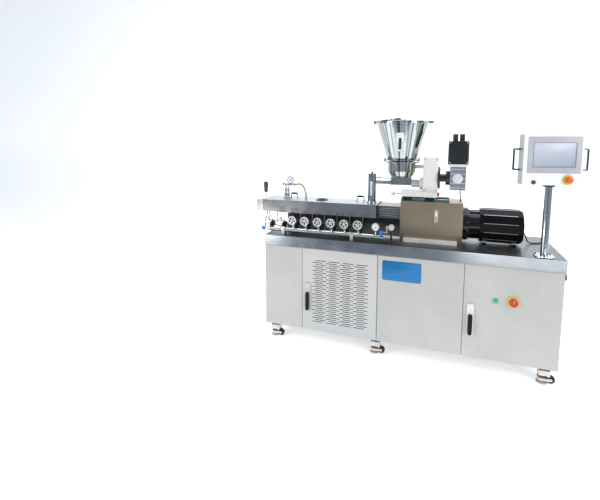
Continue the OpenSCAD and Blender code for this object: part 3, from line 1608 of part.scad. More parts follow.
module feed_chute() color("steelblue") placed() {
    z1 = cover_z1 + chute_h;
    wz = (cover_z1 + chute_flange_t + z1) / 2 - thin;
    difference() {
        union() {
            translate([chute_x, axis_y, barrel_z1]) cylinder(r = chute_r, h = z1 - barrel_z1);
            translate([chute_x, axis_y, cover_z1]) cylinder(r = chute_flange_r, h = chute_flange_t);
            front_plate(chute_x, axis_y - chute_r + 2 * chute_pane_t, wz, chute_window_w, chute_window_h,
                3 * chute_pane_t, chute_pane_t);
        }
        translate([chute_x, axis_y, barrel_z1 - over])
            cylinder(r = chute_r - wall, h = z1 - barrel_z1 + 2 * over);
        along_x(chute_x, chute_x + 2 * chute_r, axis_y, auger_z, feed_tube_r + air);
    }
    translate([chute_x, axis_y, z1 + fit]) cylinder(r = chute_r + thin, h = chute_cap_t);
    translate([chute_x, axis_y, z1 + chute_cap_t - 2 * eps]) cylinder(r = chute_knob_r / 2, h = chute_knob_h);
    translate([chute_x, axis_y, z1 + chute_cap_t + chute_knob_h - chute_knob_r]) sphere(r = chute_knob_r);
}

module feeder_cable() color("black") placed() cord(jumper_cable, cable_r);

module service_cables() color("black") placed() {
    cord(heater_cable, cable_r);
    cord(sensor_cable, cable_r);
    cord(motor_cable, cable_r);
}

// Operator panel
module panel_post() color("silver") placed() {
    top = bench_h + post_h;
    translate([post_x, post_y, bench_h]) {
        linear_extrude(post_foot_t) rounded(post_foot_w, post_foot_d, post_foot_r);
        cylinder(r = post_d / 2, h = post_h);
        for (sx = [-1, 1]) {
            for (sy = [-1, 1]) {
                translate([sx * post_bolt_x / 2, sy * post_bolt_y / 2, post_foot_t - eps])
                    cylinder(r = post_bolt_r, h = post_bolt_r, $fn = 6);
            }
        }
    }
    translate([post_x, post_y, top - eps]) cylinder(r = head_pin_r, h = head_pin_l);
}

module at_panel() {
    translate([post_x, post_y, box_z0]) rotate([0, 0, box_turn]) children();
}

module side_pull(s) {
    x0 = box_off + s * box_w / 2;
    x1 = x0 + s * (pull_reach - pull_bar_r);
    y = grip_y;
    z0 = pull_up;
    z1 = pull_up + pull_h - 2 * pull_bar_r;
    for (z = [z0, z1]) {
        along_x(min(x0 - s * thin, x1), max(x0 - s * thin, x1), y, z + pull_bar_r, pull_bar_r);
        translate([x1, y, z + pull_bar_r]) sphere(r = pull_bar_r);
    }
    translate([x1, y, z0 + pull_bar_r]) cylinder(r = pull_bar_r, h = z1 - z0);
}

module panel_box() color("whitesmoke") placed() at_panel() {
    back = box_d - box_front;
    difference() {
        union() {
            translate([box_off, box_d / 2 - box_front, 0]) linear_extrude(box_h) rounded(box_w, box_d, box_r);
            translate([0, 0, air - head_l]) cylinder(r = head_r, h = head_l);
            front_plate(bezel_x + bezel_w / 2, eps - box_front, bezel_up + bezel_h / 2, bezel_w, bezel_h,
                bezel_t, bezel_r);
            along_y(-box_front - stop_ring_t, eps - box_front, stop_x, stop_up, stop_ring_r);
            along_y(-box_front - estop_ring_t, eps - box_front, estop_x, estop_up, estop_ring_r);
        }
        translate([0, 0, -head_l - over]) cylinder(r = head_pin_r + fit, h = head_pin_l + 2 * over);
        front_plate(bezel_x + bezel_w / 2, screen_deep - box_front, bezel_up + bezel_h / 2, screen_w,
            screen_h, 3 * screen_deep, thin);
        along_y(-box_front - 2 * estop_ring_t, head_pin_l - box_front, stop_x, stop_up, stop_pin_r + fit);
        along_y(-box_front - 2 * estop_ring_t, head_pin_l - box_front, estop_x, estop_up, estop_neck_r + fit);
    }
    side_pull(-1);
    side_pull(1);
}

button_pin_l = 18;

module stop_button() color("firebrick") placed() at_panel() {
    y1 = -box_front - stop_ring_t - stop_travel - air;
    along_y(y1 - stop_t, y1, stop_x, stop_up, stop_r);
    along_y(y1 - eps, button_pin_l - box_front, stop_x, stop_up, stop_pin_r);
}

module emergency_stop() color("red") placed() at_panel() {
    y1 = -box_front - estop_neck_l;
    translate([estop_x, y1, estop_up]) rotate([90, 0, 0]) rotate_extrude() polygon([
        [0, 0], [estop_r - thin, 0], [estop_r, thin], [estop_r, estop_t / 2],
        [estop_r - thin, estop_t - thin], [estop_r / 2, estop_t], [0, estop_t]
    ]);
    along_y(y1 - eps, button_pin_l - box_front, estop_x, estop_up, estop_neck_r);
}

cabinet_frame();
panels_and_hinges();
worktop();
vented_door();
vented_door_lever();
right_door();
right_door_lever();
isolator_knob();
for (i = [0:5]) {
    caster_housing(caster_x[i % 3], caster_y[floor(i / 3)]);
    caster_wheel(caster_x[i % 3], caster_y[floor(i / 3)]);
}
gearbox_case();
gearbox_cover();
bell_housing();
drive_coupling();
main_motor();
lantern();
barrel();
front_screw();
rear_screw();
barrel_cover();
die_head();
vent_unit();
cooling_manifold();
valve_blocks();
ball_valve_lever();
for (k = [0:zones - 1]) {
    handwheel(zone_x(k));
}
feeder_rails();
feeder_base();
feeder_lock_knob();
feeder_drive_box();
feeder_motor();
feeder_trough();
feed_auger();
agitator();
hopper();
hopper_lid();
feed_chute();
feeder_cable();
service_cables();
panel_post();
panel_box();
stop_button();
emergency_stop();
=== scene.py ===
# %% [markdown]
# # Dressing a twin-screw extruder
# This lesson takes a machine that is already modelled as solids and gives it its looks. The solids
# hold every measured shape, so they stay where they are. We add finishes to them, and small pieces
# that a solid modeller would leave out, such as dial marks, screw heads and panes of glass.

import json
from math import cos, pi, radians, sin

import bmesh
import bpy
from mathutils import Matrix, Vector

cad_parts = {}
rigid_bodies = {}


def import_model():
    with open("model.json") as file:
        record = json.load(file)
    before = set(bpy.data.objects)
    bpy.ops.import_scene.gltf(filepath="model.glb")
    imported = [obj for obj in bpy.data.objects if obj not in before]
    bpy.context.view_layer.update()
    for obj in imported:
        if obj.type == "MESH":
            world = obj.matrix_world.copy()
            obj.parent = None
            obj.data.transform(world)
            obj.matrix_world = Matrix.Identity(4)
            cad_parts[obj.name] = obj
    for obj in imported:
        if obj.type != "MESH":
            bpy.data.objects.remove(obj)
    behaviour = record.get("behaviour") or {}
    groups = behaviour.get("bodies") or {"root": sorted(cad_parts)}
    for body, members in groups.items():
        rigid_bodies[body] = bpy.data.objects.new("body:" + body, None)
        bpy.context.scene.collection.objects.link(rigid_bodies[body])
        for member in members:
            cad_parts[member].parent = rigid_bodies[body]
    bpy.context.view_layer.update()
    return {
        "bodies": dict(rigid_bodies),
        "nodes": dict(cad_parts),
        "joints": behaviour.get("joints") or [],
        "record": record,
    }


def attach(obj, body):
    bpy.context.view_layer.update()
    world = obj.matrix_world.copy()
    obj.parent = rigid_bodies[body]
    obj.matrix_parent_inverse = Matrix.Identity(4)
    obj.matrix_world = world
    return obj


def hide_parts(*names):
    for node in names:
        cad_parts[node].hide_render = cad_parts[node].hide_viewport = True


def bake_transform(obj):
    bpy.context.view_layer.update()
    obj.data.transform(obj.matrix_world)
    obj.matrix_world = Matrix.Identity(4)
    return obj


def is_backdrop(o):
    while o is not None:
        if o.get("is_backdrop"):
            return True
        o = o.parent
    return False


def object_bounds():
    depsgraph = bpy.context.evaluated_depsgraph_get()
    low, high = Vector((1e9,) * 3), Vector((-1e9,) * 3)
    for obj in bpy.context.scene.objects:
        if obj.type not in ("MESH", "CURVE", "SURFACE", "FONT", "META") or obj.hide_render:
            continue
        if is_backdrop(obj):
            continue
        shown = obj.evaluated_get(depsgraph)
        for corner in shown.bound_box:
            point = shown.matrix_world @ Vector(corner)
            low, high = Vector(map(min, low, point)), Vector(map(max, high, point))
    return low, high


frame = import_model()
nodes = frame["nodes"]

# %% [markdown]
# ## Shop coordinates
# A fitter measures this machine in millimetres: along from the left end of the bench, back from its
# front edge and up from the floor. The model is in metres with its origin under its middle. One small
# function turns shop measures into model measures, so every number below can be checked with a rule.
# The operator panel is turned a little on its post, so its foot and its turn are noted here too.

# %% From shop measures to the model
MIDDLE_X, MIDDLE_Y = 952.209, 289.191

def at(x, y, z):
    return Vector(((x - MIDDLE_X) / 1000, (y - MIDDLE_Y) / 1000, z / 1000))

POST_AXIS = (1859, 64, 0)
PANEL_TURN = radians(8.6)
PANEL_FOOT = at(*POST_AXIS[:2], 1264)

print("bench corner at", [round(v, 3) for v in at(0, 0, 820)])

# %% [markdown]
# ## The camera
# The photographer stood a little right of the middle at eye height and looked slightly left and down,
# with a wide lens. A turn of 90 degrees about X points a new camera at the horizon, and what we take
# off that turn tilts it down. The shift slides the frame without tilting the upright lines.

# %% Camera
EYE = at(1257, -2593, 1517.5)
LOOK_DOWN, LOOK_LEFT = 6.45, 19.61

scene = bpy.context.scene
lens = bpy.data.cameras.new("camera")
lens.sensor_width, lens.lens = 36, 23.16
lens.shift_x, lens.shift_y = -0.0095, -0.1077
lens.clip_start, lens.clip_end = 0.05, 60
camera = bpy.data.objects.new("camera", lens)
camera.location = EYE
camera.rotation_euler = (radians(90 - LOOK_DOWN), 0, radians(LOOK_LEFT))
scene.collection.objects.link(camera)
scene.camera = camera
print("camera", [round(v, 2) for v in camera.location], "lens", lens.lens, "mm")

# %% [markdown]
# ## Calculating with sockets
# A finish is a small sum: this much noise times that much wear. Wiring a Math node by hand for every
# plus sign hides the sum, so a thin wrapper teaches sockets Python's own signs. After that,
# `1 - wear * 0.4` adds the two Math nodes for us.

# %% A value that can be added and multiplied
class Value:
    def __init__(self, finish, socket):
        self.finish, self.socket = finish, socket

    def sum(self, sign, first, second):
        return self.finish.node("ShaderNodeMath", {"operation": sign}, {0: first, 1: second})

    def __add__(self, other):
        return self.sum("ADD", self, other)

    def __sub__(self, other):
        return self.sum("SUBTRACT", self, other)

    def __rsub__(self, other):
        return self.sum("SUBTRACT", other, self)

    def __mul__(self, other):
        return self.sum("MULTIPLY", self, other)

    def __gt__(self, other):
        return self.sum("GREATER_THAN", self, other)

    def __lt__(self, other):
        return self.sum("LESS_THAN", self, other)

    __radd__, __rmul__ = __add__, __mul__

print("a value knows:", [w for w in vars(Value) if w.startswith("__") and w != "__init__"])

# %% [markdown]
# ## A finish
# One class holds what every finish on this machine shares: the Principled surface, coordinates that
# are fixed to the part, and a single method that makes any other node from its type, its settings and
# its sockets. Numbers that are the same all over go straight onto a socket. Only what changes over
# the surface is wired.

# %% The finish class
def tint(red, green, blue):
    """A colour as a painter reads it, 0 to 255, made linear for the renderer."""
    return tuple((v / 255 / 12.92 if v <= 10 else ((v / 255 + 0.055) / 1.055) ** 2.4)
        for v in (red, green, blue)) + (1,)

def dimmed(colour, share):
    return tuple(c * share for c in colour[:3]) + (1,)

class Finish:
    def __init__(self, name):
        self.material = bpy.data.materials.new(name)
        self.material.use_nodes = True
        self.tree = self.material.node_tree
        self.tree.nodes.clear()
        self.surface = self.tree.nodes.new("ShaderNodeBsdfPrincipled")
        output = self.tree.nodes.new("ShaderNodeOutputMaterial")
        self.tree.links.new(self.surface.outputs[0], output.inputs[0])
        self.place = self.node("ShaderNodeTexCoord", {}, {}, "Object")

    def plug(self, socket, value):
        if isinstance(value, Value):
            self.tree.links.new(value.socket, socket)
        else:
            socket.default_value = value

    def node(self, kind, settings, sockets, output=0):
        made = self.tree.nodes.new(kind)
        for name, setting in settings.items():
            setattr(made, name, setting)
        for name, value in sockets.items():
            self.plug(made.inputs[name], value)
        return Value(self, made.outputs[output])

    def wear(self, **parts):
        """Sets sockets of the surface: colour=, rough=, metal=, coat=, normal= and so on."""
        names = {"colour": "Base Color", "rough": "Roughness", "metal": "Metallic", "coat": "Coat Weight",
            "coat_rough": "Coat Roughness", "glow": "Emission Color", "glow_strength": "Emission Strength",
            "normal": "Normal", "shine": "Specular IOR Level"}
        for part, value in parts.items():
            self.plug(self.surface.inputs[names[part]], value)
        return self

    def along(self, axis, turned=False):
        """The place along X, Y or Z. Turned, it is measured on the panel, which faces a little aside."""
        place = self.place
        if turned:
            square = Matrix.Rotation(-PANEL_TURN, 3, "Z")
            place = self.node("ShaderNodeMapping", {}, {"Vector": place,
                "Rotation": (0, 0, -PANEL_TURN), "Location": square @ -PANEL_FOOT})
        return self.node("ShaderNodeSeparateXYZ", {}, {0: place}, axis)

    def noise(self, scale, stretch=(1, 1, 1), detail=2.0):
        where = self.node("ShaderNodeMapping", {}, {"Vector": self.place, "Scale": stretch})
        return self.node("ShaderNodeTexNoise", {}, {"Vector": where, "Scale": scale, "Detail": detail})

    def level(self, value, low, high, out_low=0.0, out_high=1.0):
        """Reads a value between low and high as one between two others, without passing them."""
        return self.node("ShaderNodeMapRange", {"clamp": True},
            {0: value, 1: low, 2: high, 3: out_low, 4: out_high})

    def mix(self, share, first, second, how="MIX"):
        return self.node("ShaderNodeMix", {"data_type": "RGBA", "blend_type": how},
            {0: share, 6: first, 7: second}, 2)

    def inside(self, low, high, turned=False):
        """1 inside a box given in shop measures, 0 outside. None leaves a side open."""
        mask = 1
        for axis, (start, stop) in enumerate(zip(low, high)):
            place = self.along(axis, turned)
            shift = 0 if turned else (MIDDLE_X, MIDDLE_Y, 0)[axis]
            if start is not None:
                mask = mask * (place > (start - shift) / 1000)
            if stop is not None:
                mask = mask * (place < (stop - shift) / 1000)
        return mask

    def about(self, centre, axis, radius):
        """1 inside a round bar that runs along an axis (0, 1 or 2) through the centre."""
        flat = tuple(0 if i == axis else 1 for i in range(3))
        away = self.node("ShaderNodeVectorMath", {"operation": "SUBTRACT"}, {0: self.place, 1: at(*centre)})
        away = self.node("ShaderNodeVectorMath", {"operation": "MULTIPLY"}, {0: away, 1: flat})
        return self.node("ShaderNodeVectorMath", {"operation": "LENGTH"}, {0: away}, "Value") < radius / 1000

    def bands(self, centre, scale, low, high):
        """Painted reflections: upright bands about an axis, as a polished cone or post mirrors the room. They meet at
        the back.
        """
        x, y = at(*centre)[:2]
        turn = self.node("ShaderNodeMath", {"operation": "ARCTAN2"}, {0: self.along(0) - x, 1: y - self.along(1)})
        noise = self.node("ShaderNodeTexNoise", {"noise_dimensions": "1D"},
            {"W": turn * scale, "Scale": 1, "Detail": 2})
        return self.level(noise, low, high)

    def rounded(self, radius=0.0012):
        """Normals that turn softly over the edges, as on folded sheet and cast parts."""
        return self.node("ShaderNodeBevel", {"samples": 4}, {"Radius": radius})

    def bump(self, height, strength, distance, normal=None):
        sockets = {"Strength": strength, "Distance": distance, "Height": height}
        if normal:
            sockets["Normal"] = normal
        return self.node("ShaderNodeBump", {}, sockets)

    def edge(self, soft):
        """1 on the sharp edges, 0 on the flats, from how far the softened normal leaves the real one."""
        on_flats, on_edges = 0.999, 0.93
        real = self.node("ShaderNodeNewGeometry", {}, {}, "Normal")
        agree = self.node("ShaderNodeVectorMath", {"operation": "DOT_PRODUCT"}, {0: soft, 1: real}, "Value")
        return self.level(agree, on_flats, on_edges)

    def dress(self, *names):
        """Gives the finish to solids of the machine."""
        for name in names:
            skin = nodes[name].data.materials
            if not len(skin):
                skin.append(self.material)
            for i in range(len(skin)):
                nodes[name].material_slots[i].material = self.material
        return self

print("finishes ready")

# %% [markdown]
# ## Cables and the vacuum hose
# Four cables show. Two hang from the die head's heater and its sensor into the bench top, one runs
# from the motor behind the post, and one feeds the dosing motor. A curve with a round section is the
# quickest way to draw a cable: it bends smoothly through a few points. We then keep its mesh.

# %% Cable helpers
CABLE = 8

def put(name, data):
    """A new object in the scene."""
    made = bpy.data.objects.new(name, data)
    scene.collection.objects.link(made)
    return made

def smooth(mesh):
    for face in mesh.polygons:
        face.use_smooth = True

def run_length(route):
    """How long a route is, in metres."""
    return sum((at(*a) - at(*b)).length for a, b in zip(route, route[1:]))

def tube(name, route, radius, steps=6, sides=4):
    """A round mesh tube along a route in shop measures."""
    line = bpy.data.curves.new(name + "_line", "CURVE")
    line.dimensions, line.bevel_depth, line.bevel_resolution = "3D", radius / 1000, sides
    line.resolution_u, line.use_fill_caps = steps, True
    path = line.splines.new("BEZIER")
    path.bezier_points.add(len(route) - 1)
    for point, place in zip(path.bezier_points, route):
        point.co = at(*place)
        point.handle_left_type = point.handle_right_type = "AUTO"
    drawn = put(name + "_line", line)
    bpy.context.view_layer.update()
    mesh = bpy.data.meshes.new_from_object(drawn.evaluated_get(bpy.context.evaluated_depsgraph_get()))
    bpy.data.objects.remove(drawn)
    mesh.name = name
    mesh.materials.clear()
    smooth(mesh)
    return put(name, mesh)

def cable(piece, route, stand_for):
    """Measures a cable's length along its route, hides the solid it stands for and prints the length."""
    length = run_length(route)
    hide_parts(stand_for)
    at(*route[0])
    [at(*p) for p in route]
    print(f"{piece.name}: {length * 1000:.0f} mm long, {len(piece.data.polygons)} faces")

# %% Cables of the die head and the motor
HEATER_ROUTE = [(-107, 292, 962), (-107, 292, 946), (-107, 276, 915), (-102, 240, 882),
    (-84, 196, 858), (-56, 162, 840), (-26, 142, 829), (8, 130, 824.5)]
SENSOR_ROUTE = [(-107, 330, 962), (-107, 330, 946), (-104, 330, 912), (-92, 326, 876),
    (-70, 320, 850), (-40, 312, 832), (-14, 304, 826), (10, 300, 824.5)]
MOTOR_ROUTE = [(1769, 340, 905), (1784, 340, 905), (1800, 346, 886), (1811, 352, 860), (1824, 360, 836),
    (1846, 368, 825), (1874, 379, 824.5), (1900, 391, 824.5), (1924, 403, 824.5), (1948, 414, 824.5)]
fixed_cables = []
for name, route, lay in [("heater_cable", HEATER_ROUTE, "hanging"), ("sensor_cable", SENSOR_ROUTE, "hanging"),
        ("motor_cable", MOTOR_ROUTE, "loose")]:
    piece = tube(name, route, CABLE / 2)
    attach(piece, "base")
    cable(piece, route, "service_cables")
    fixed_cables.append(piece)

# %% The dosing motor's cable
JUMPER_ROUTE = [(1376, 300, 1183.5), (1376, 300, 1168), (1377, 298, 1142), (1380, 300, 1118), (1380, 300, 1101)]
jumper = tube("jumper_cable", JUMPER_ROUTE, CABLE / 2, steps=8)
at(1376, 300, 1175)
at(1380, 300, 1104)
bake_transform(jumper)
cable(jumper, JUMPER_ROUTE, "feeder_cable")

# %% [markdown]
# The vacuum hose is ribbed like a swan's neck: a stainless bellows. Its rings could be modelled one by
# one, but it is simpler to take the smooth tube and push every second ring of points outwards from
# the centre line. A curve with a bevel resolution of 6 has 2 * 6 + 4 points in a ring.

# %% The ribbed vacuum hose
HOSE_ROUTE = [(154, 300, 1177), (168, 300, 1180), (184, 300, 1178), (199, 300, 1169), (212, 300, 1153),
    (221, 300, 1133), (227, 300, 1110), (230, 300, 1086), (231, 300, 1061.5)]
HOSE_SIDES = 6
HOSE_RING = 2 * HOSE_SIDES + 4

def ribbed(name, route, valley, crest):
    piece = tube(name, route, valley, steps=8, sides=HOSE_SIDES)
    corners = piece.data.vertices
    for start in range(0, len(corners) - HOSE_RING + 1, HOSE_RING):
        circle = [corners[i] for i in range(start, start + HOSE_RING)]
        middle = sum((c.co for c in circle), Vector()) / HOSE_RING
        if (start // HOSE_RING) % 2 == 1:
            for c in circle:
                c.co = middle + (c.co - middle) * (crest / valley)
    return piece

hose = ribbed("vacuum_hose", HOSE_ROUTE, 7, 9)
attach(hose, "base")
hose_length = run_length(HOSE_ROUTE)
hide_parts("vent_unit")
at(*HOSE_ROUTE[0])
[at(*p) for p in HOSE_ROUTE]
print(f"vacuum hose: {hose_length * 1000:.0f} mm long, {len(hose.data.vertices) // HOSE_RING} rings")

# %% [markdown]
# ## Shaping with bmesh
# Small parts come from a handful of shop moves: a bar cut to length, a block with its edges broken, a
# plate with round corners, a profile turned on a lathe and a strip drawn out from a line. Each is a few
# bmesh operators, and works in plain millimetres. `in_ring` gives the places of screws round a circle.
# `finished` welds doubles, turns the faces outwards, brings the shape to the bench or to the turned
# panel, and hangs the piece on its moving body.

# %% Shop moves
BENCH = Matrix.Scale(0.001, 4) @ Matrix.Translation((-MIDDLE_X, -MIDDLE_Y, 0))
PANEL = Matrix.Translation(PANEL_FOOT) @ Matrix.Rotation(PANEL_TURN, 4, "Z") @ Matrix.Scale(0.001, 4)
UP, FRONT, LEFT, RIGHT = (0, 0, 1), (0, -1, 0), (-1, 0, 0), (1, 0, 0)
HEX = 6
SHARP_FROM = radians(35)

def bar(shape, start, end, radius, sides=32, end_radius=None):
    a, b = Vector(start), Vector(end)
    stand = (b - a).to_track_quat("Z", "Y").to_matrix().to_4x4()
    return bmesh.ops.create_cone(shape, cap_ends=True, segments=sides, radius1=radius,
        radius2=radius if end_radius is None else end_radius, depth=(b - a).length,
        matrix=Matrix.Translation((a + b) / 2) @ stand)["verts"]

def break_edges(shape, edges, offset, steps):
    bmesh.ops.bevel(shape, geom=edges, offset=offset, offset_type="OFFSET", segments=steps, profile=0.5,
        affect="EDGES", material=-1)

def cube(shape, low, high):
    """The corners of a plain block between two points."""
    a, b = Vector(low), Vector(high)
    return bmesh.ops.create_cube(shape, size=1,
        matrix=Matrix.Translation((a + b) / 2) @ Matrix.Diagonal((*(b - a), 1)))["verts"]

def block(shape, low, high, broken=0.0, steps=2):
    corners = cube(shape, low, high)
    if broken:
        break_edges(shape, list({e for v in corners for e in v.link_edges}), broken, steps)

def plate(shape, low, high, corner, broken=0.3):
    """A plate that faces the front: its upright corners are rounded first, then its front edge."""
    before, thick = set(shape.faces), high[1] - low[1]
    edges = {e for v in cube(shape, low, high) for e in v.link_edges}
    break_edges(shape, [e for e in edges if abs((e.verts[0].co - e.verts[1].co).y) > thick / 2], corner, 6)
    shape.normal_update()
    front = [f for f in shape.faces if f not in before and f.calc_center_median().y < low[1] + 1e-4]
    break_edges(shape, list({e for f in front for e in f.edges}), broken, 2)

def lathe(shape, outline, foot, axis, steps=48):
    """Turns an outline of (radius, height) pairs about an axis through the foot."""
    axis, base = Vector(axis).normalized(), Vector(foot)
    side = axis.orthogonal().normalized()
    line = [shape.verts.new(base + side * r + axis * h) for r, h in outline]
    edges = [shape.edges.new(pair) for pair in zip(line, line[1:])]
    bmesh.ops.spin(shape, geom=line + edges, cent=base, axis=axis, angle=2 * pi, steps=steps,
        use_merge=True, use_duplicate=False)

def drawn_out(shape, line, wide):
    """Draws a line of places out along X into a strip."""
    corners = [shape.verts.new(place) for place in line]
    edges = [shape.edges.new(pair) for pair in zip(corners, corners[1:])]
    drawn = bmesh.ops.extrude_edge_only(shape, edges=edges)["geom"]
    bmesh.ops.translate(shape, verts=[v for v in drawn if isinstance(v, bmesh.types.BMVert)], vec=(wide, 0, 0))
    bmesh.ops.recalc_face_normals(shape, faces=shape.faces)

def in_ring(count, radius):
    """Places round a circle as pairs of offsets. The first is half a step on."""
    turns = [2 * pi * (i + 0.5) / count for i in range(count)]
    return [(radius * cos(turn), radius * sin(turn)) for turn in turns]

def finished(shape, name, finish, body, frame=BENCH, stand_for=()):
    bmesh.ops.remove_doubles(shape, verts=shape.verts, dist=1e-3)
    bmesh.ops.recalc_face_normals(shape, faces=shape.faces)
    bmesh.ops.transform(shape, matrix=frame, verts=shape.verts)
    mesh = bpy.data.meshes.new(name)
    shape.to_mesh(mesh)
    shape.free()
    smooth(mesh)
    mesh.set_sharp_from_angle(angle=SHARP_FROM)
    mesh.materials.append(finish.material)
    piece = put(name, mesh)
    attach(piece, body)
    if stand_for:
        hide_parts(*stand_for)
    print(f"{name}: {len(mesh.polygons)} faces on {body}")
    return piece

print("shop moves ready")

# %% [markdown]
# ## Paint
# The cabinet is powder coated: an even, slightly dimpled skin whose gloss wanders a little. Dimples are
# a fine noise in the bump, and the wandering gloss is a broad noise in the roughness. Edges of folded
# sheet are never knife sharp, so a Bevel node rounds their highlights without touching the mesh.

# %% Powder coat and gloss paint
def paint(name, colour, rough, dimple=0.12, coat=0.0, edge_wear_and_light=None, floor_shade=None):
    f = Finish(name)
    broad, fine = f.noise(3.5, detail=3), f.noise(900, detail=1)
    soft = f.rounded()
    skin = f.mix(f.level(broad, 0.35, 0.65), dimmed(colour, 0.97), colour)
    # Painted shade: towards the floor, below 0.42 m, the skin turns to a darker shade colour, in broad patches.
    if floor_shade:
        low = f.level(f.along(2), 0.42, 0.1)
        skin = f.mix(low * f.level(broad, 0.2, 0.8, 0.5, 1.0), skin, floor_shade)
    # Tinted edges: partly wear, partly painted light, a highlight where the tint is paler and shade where it is darker.
    if edge_wear_and_light:
        skin = f.mix(f.edge(soft) * 0.8, skin, edge_wear_and_light)
    return f.wear(colour=skin, rough=f.level(broad, 0.3, 0.7, rough - 0.05, rough + 0.06), coat=coat,
        normal=f.bump(fine, dimple, 0.0002, soft))

POWDER, POWDER_SHADED = tint(188, 187, 182), tint(176, 180, 180)
paint("frame_paint", tint(172, 172, 168), 0.5).dress("cabinet_frame")
# The door's paint gets painted shade towards the floor.
paint("cabinet_paint", POWDER, 0.38, floor_shade=POWDER_SHADED).dress("vented_door")
print("painted", nodes["vented_door"].data.materials[0].name)

# %% [markdown]
# ## Stainless steel
# Brushed sheet is scratched in one direction. A noise that is stretched a hundred times along the
# brushing gives those hairlines, and feeds three places at once: a faint colour change, the gloss and
# the bump. Polished steel has no hairlines, only a slow waviness that makes reflections swim.

# %% Brushed and polished steel
def brushed(name, colour, rough, along=(0.02, 1, 1), lines=420, depth=0.25, tone=0.86):
    f = Finish(name)
    hair, streak, cloud = f.noise(lines, along), f.noise(lines / 3, along), f.noise(2.2, detail=3)
    mark = f.level(hair * 0.55 + streak * 0.45, 0.38, 0.62)
    return f.wear(colour=f.mix(mark, dimmed(colour, tone), colour), metal=1.0,
        normal=f.bump(mark, depth, 0.0001, f.rounded()),
        rough=f.level(mark * 0.7 + cloud * 0.3, 0.2, 0.8, rough - 0.07, rough + 0.09))

def polished(name, colour, rough=0.09, wave=0.25, size=14, painted_reflections=None, depth=0.3):
    f = Finish(name)
    slow, dust = f.noise(size, detail=1), f.noise(60, detail=3)
    skin = f.mix(f.level(dust, 0.4, 0.75), colour, dimmed(colour, 0.9))
    # Painted reflections: dark upright bands over the polished colour.
    if painted_reflections:
        skin = f.mix(f.bands(*painted_reflections), dimmed(colour, depth), skin)
    return f.wear(colour=skin, metal=1.0,
        rough=f.level(dust, 0.35, 0.7, rough - 0.02, rough + 0.06),
        normal=f.bump(slow, wave, 0.002, f.rounded(0.0008)))

brushed("lantern_steel", tint(122, 122, 120), 0.3).dress("lantern")
# The post gets painted reflections: upright dark bands round its axis.
polished("post_steel", tint(206, 210, 214), 0.09, 0.05, 14, (POST_AXIS, 5, 0.38, 0.56), 0.2).dress("panel_post")
brushed("machined_steel", tint(160, 161, 164), 0.24, (1, 1, 0.05), 300).dress(
    "drive_coupling", "feeder_rails", "agitator", "feed_auger")
polished("screw_steel", tint(140, 142, 150), 0.22, 0.1, 60).dress("front_screw", "rear_screw")
brushed("barrel_steel", tint(72, 66, 60), 0.42, (1, 0.1, 1), 120).dress("barrel")
print("steel on", [n for n, o in nodes.items() if o.data.materials and "steel" in o.data.materials[0].name])

# %% [markdown]
# ## Cast metal
# The handwheels are die cast and polished by tumbling, and the gearbox case is cast and painted pale.
# They differ in colour, in gloss and in the size of their bumps.

# %% Cast metals
HANDWHEELS = [f"handwheel_{i}" for i in range(1, 9)]

def cast(name, colour, rough, grain, depth, metal=1.0):
    f = Finish(name)
    grit, cloud = f.noise(grain, detail=3), f.noise(9, detail=2)
    return f.wear(colour=f.mix(f.level(cloud * 0.5 + grit * 0.5, 0.35, 0.6), dimmed(colour, 0.72), colour),
        metal=metal, rough=f.level(grit, 0.3, 0.7, rough - 0.06, rough + 0.12),
        normal=f.bump(grit, depth, 0.0004, f.rounded(0.001)))

cast("handwheel_metal", tint(240, 240, 244), 0.24, 160, 0.15, 0.7).dress(*HANDWHEELS)
cast("case_metal", tint(226, 226, 220), 0.42, 220, 0.3, 0.3).dress("gearbox_case")
print("cast metals ready")

# %% [markdown]
# ## Plastics and rubber
# Moulded plastic has a fine spark-eroded grain and, unlike metal, a white highlight. Tyres and cables
# are softer and duller.

# %% Plastic and rubber
def plastic(name, colour, rough=0.38, grain=700, depth=0.15, coat=0.0):
    f = Finish(name)
    grit, cloud = f.noise(grain, detail=1), f.noise(25, detail=2)
    return f.wear(colour=f.mix(f.level(cloud, 0.35, 0.65), dimmed(colour, 0.85), colour), coat=coat,
        rough=f.level(cloud, 0.3, 0.7, rough - 0.05, rough + 0.07),
        normal=f.bump(grit, depth, 0.0002, f.rounded(0.0008)))

black_plastic = plastic("black_plastic", tint(10, 12, 24), 0.36).wear(shine=0.2)
black_plastic.dress("vented_door_lever", "right_door_lever")
plastic("red_plastic", tint(196, 40, 26), 0.3, coat=0.3).dress("feeder_lock_knob", "isolator_knob")
plastic("stop_red", tint(222, 78, 54), 0.32, coat=0.3).dress("emergency_stop")
plastic("maroon_plastic", tint(128, 30, 58), 0.3, coat=0.3).dress("stop_button")
plastic("blue_plastic", tint(24, 110, 190), 0.3, coat=0.2).dress("ball_valve_lever")
plastic("wheel_rubber", tint(26, 26, 28), 0.55).dress(*[f"caster_wheel_{i}" for i in range(1, 7)])
cable_rubber = plastic("cable_rubber", tint(20, 20, 22), 0.5, 400, 0.2)
for piece in fixed_cables + [jumper]:
    piece.data.materials.append(cable_rubber.material)
hose_steel = polished("hose_steel", tint(176, 170, 156), 0.2, 0.1, 40)
hose.data.materials.append(hose_steel.material)
print("plastics ready")

# %% [markdown]
# ## Several finishes on one solid
# Some solids hold more than one finish: the dosing drive is one casting drawing, but a black spool, a
# bare gear housing and a black motor in life. Its place on the machine tells them apart. Each patch is
# a box or a round bar in shop measures, or what lies outside it, where one look hands over to the next.
# Broad clouds and fine grit darken all of them a little, as handling does.

# %% Patches
SOILED = (0.45, 0.45, 0.46, 1)

def look(colour, rough, metal=0.0, coat=0.0):
    return {"colour": colour, "rough": rough, "metal": metal, "coat": coat}

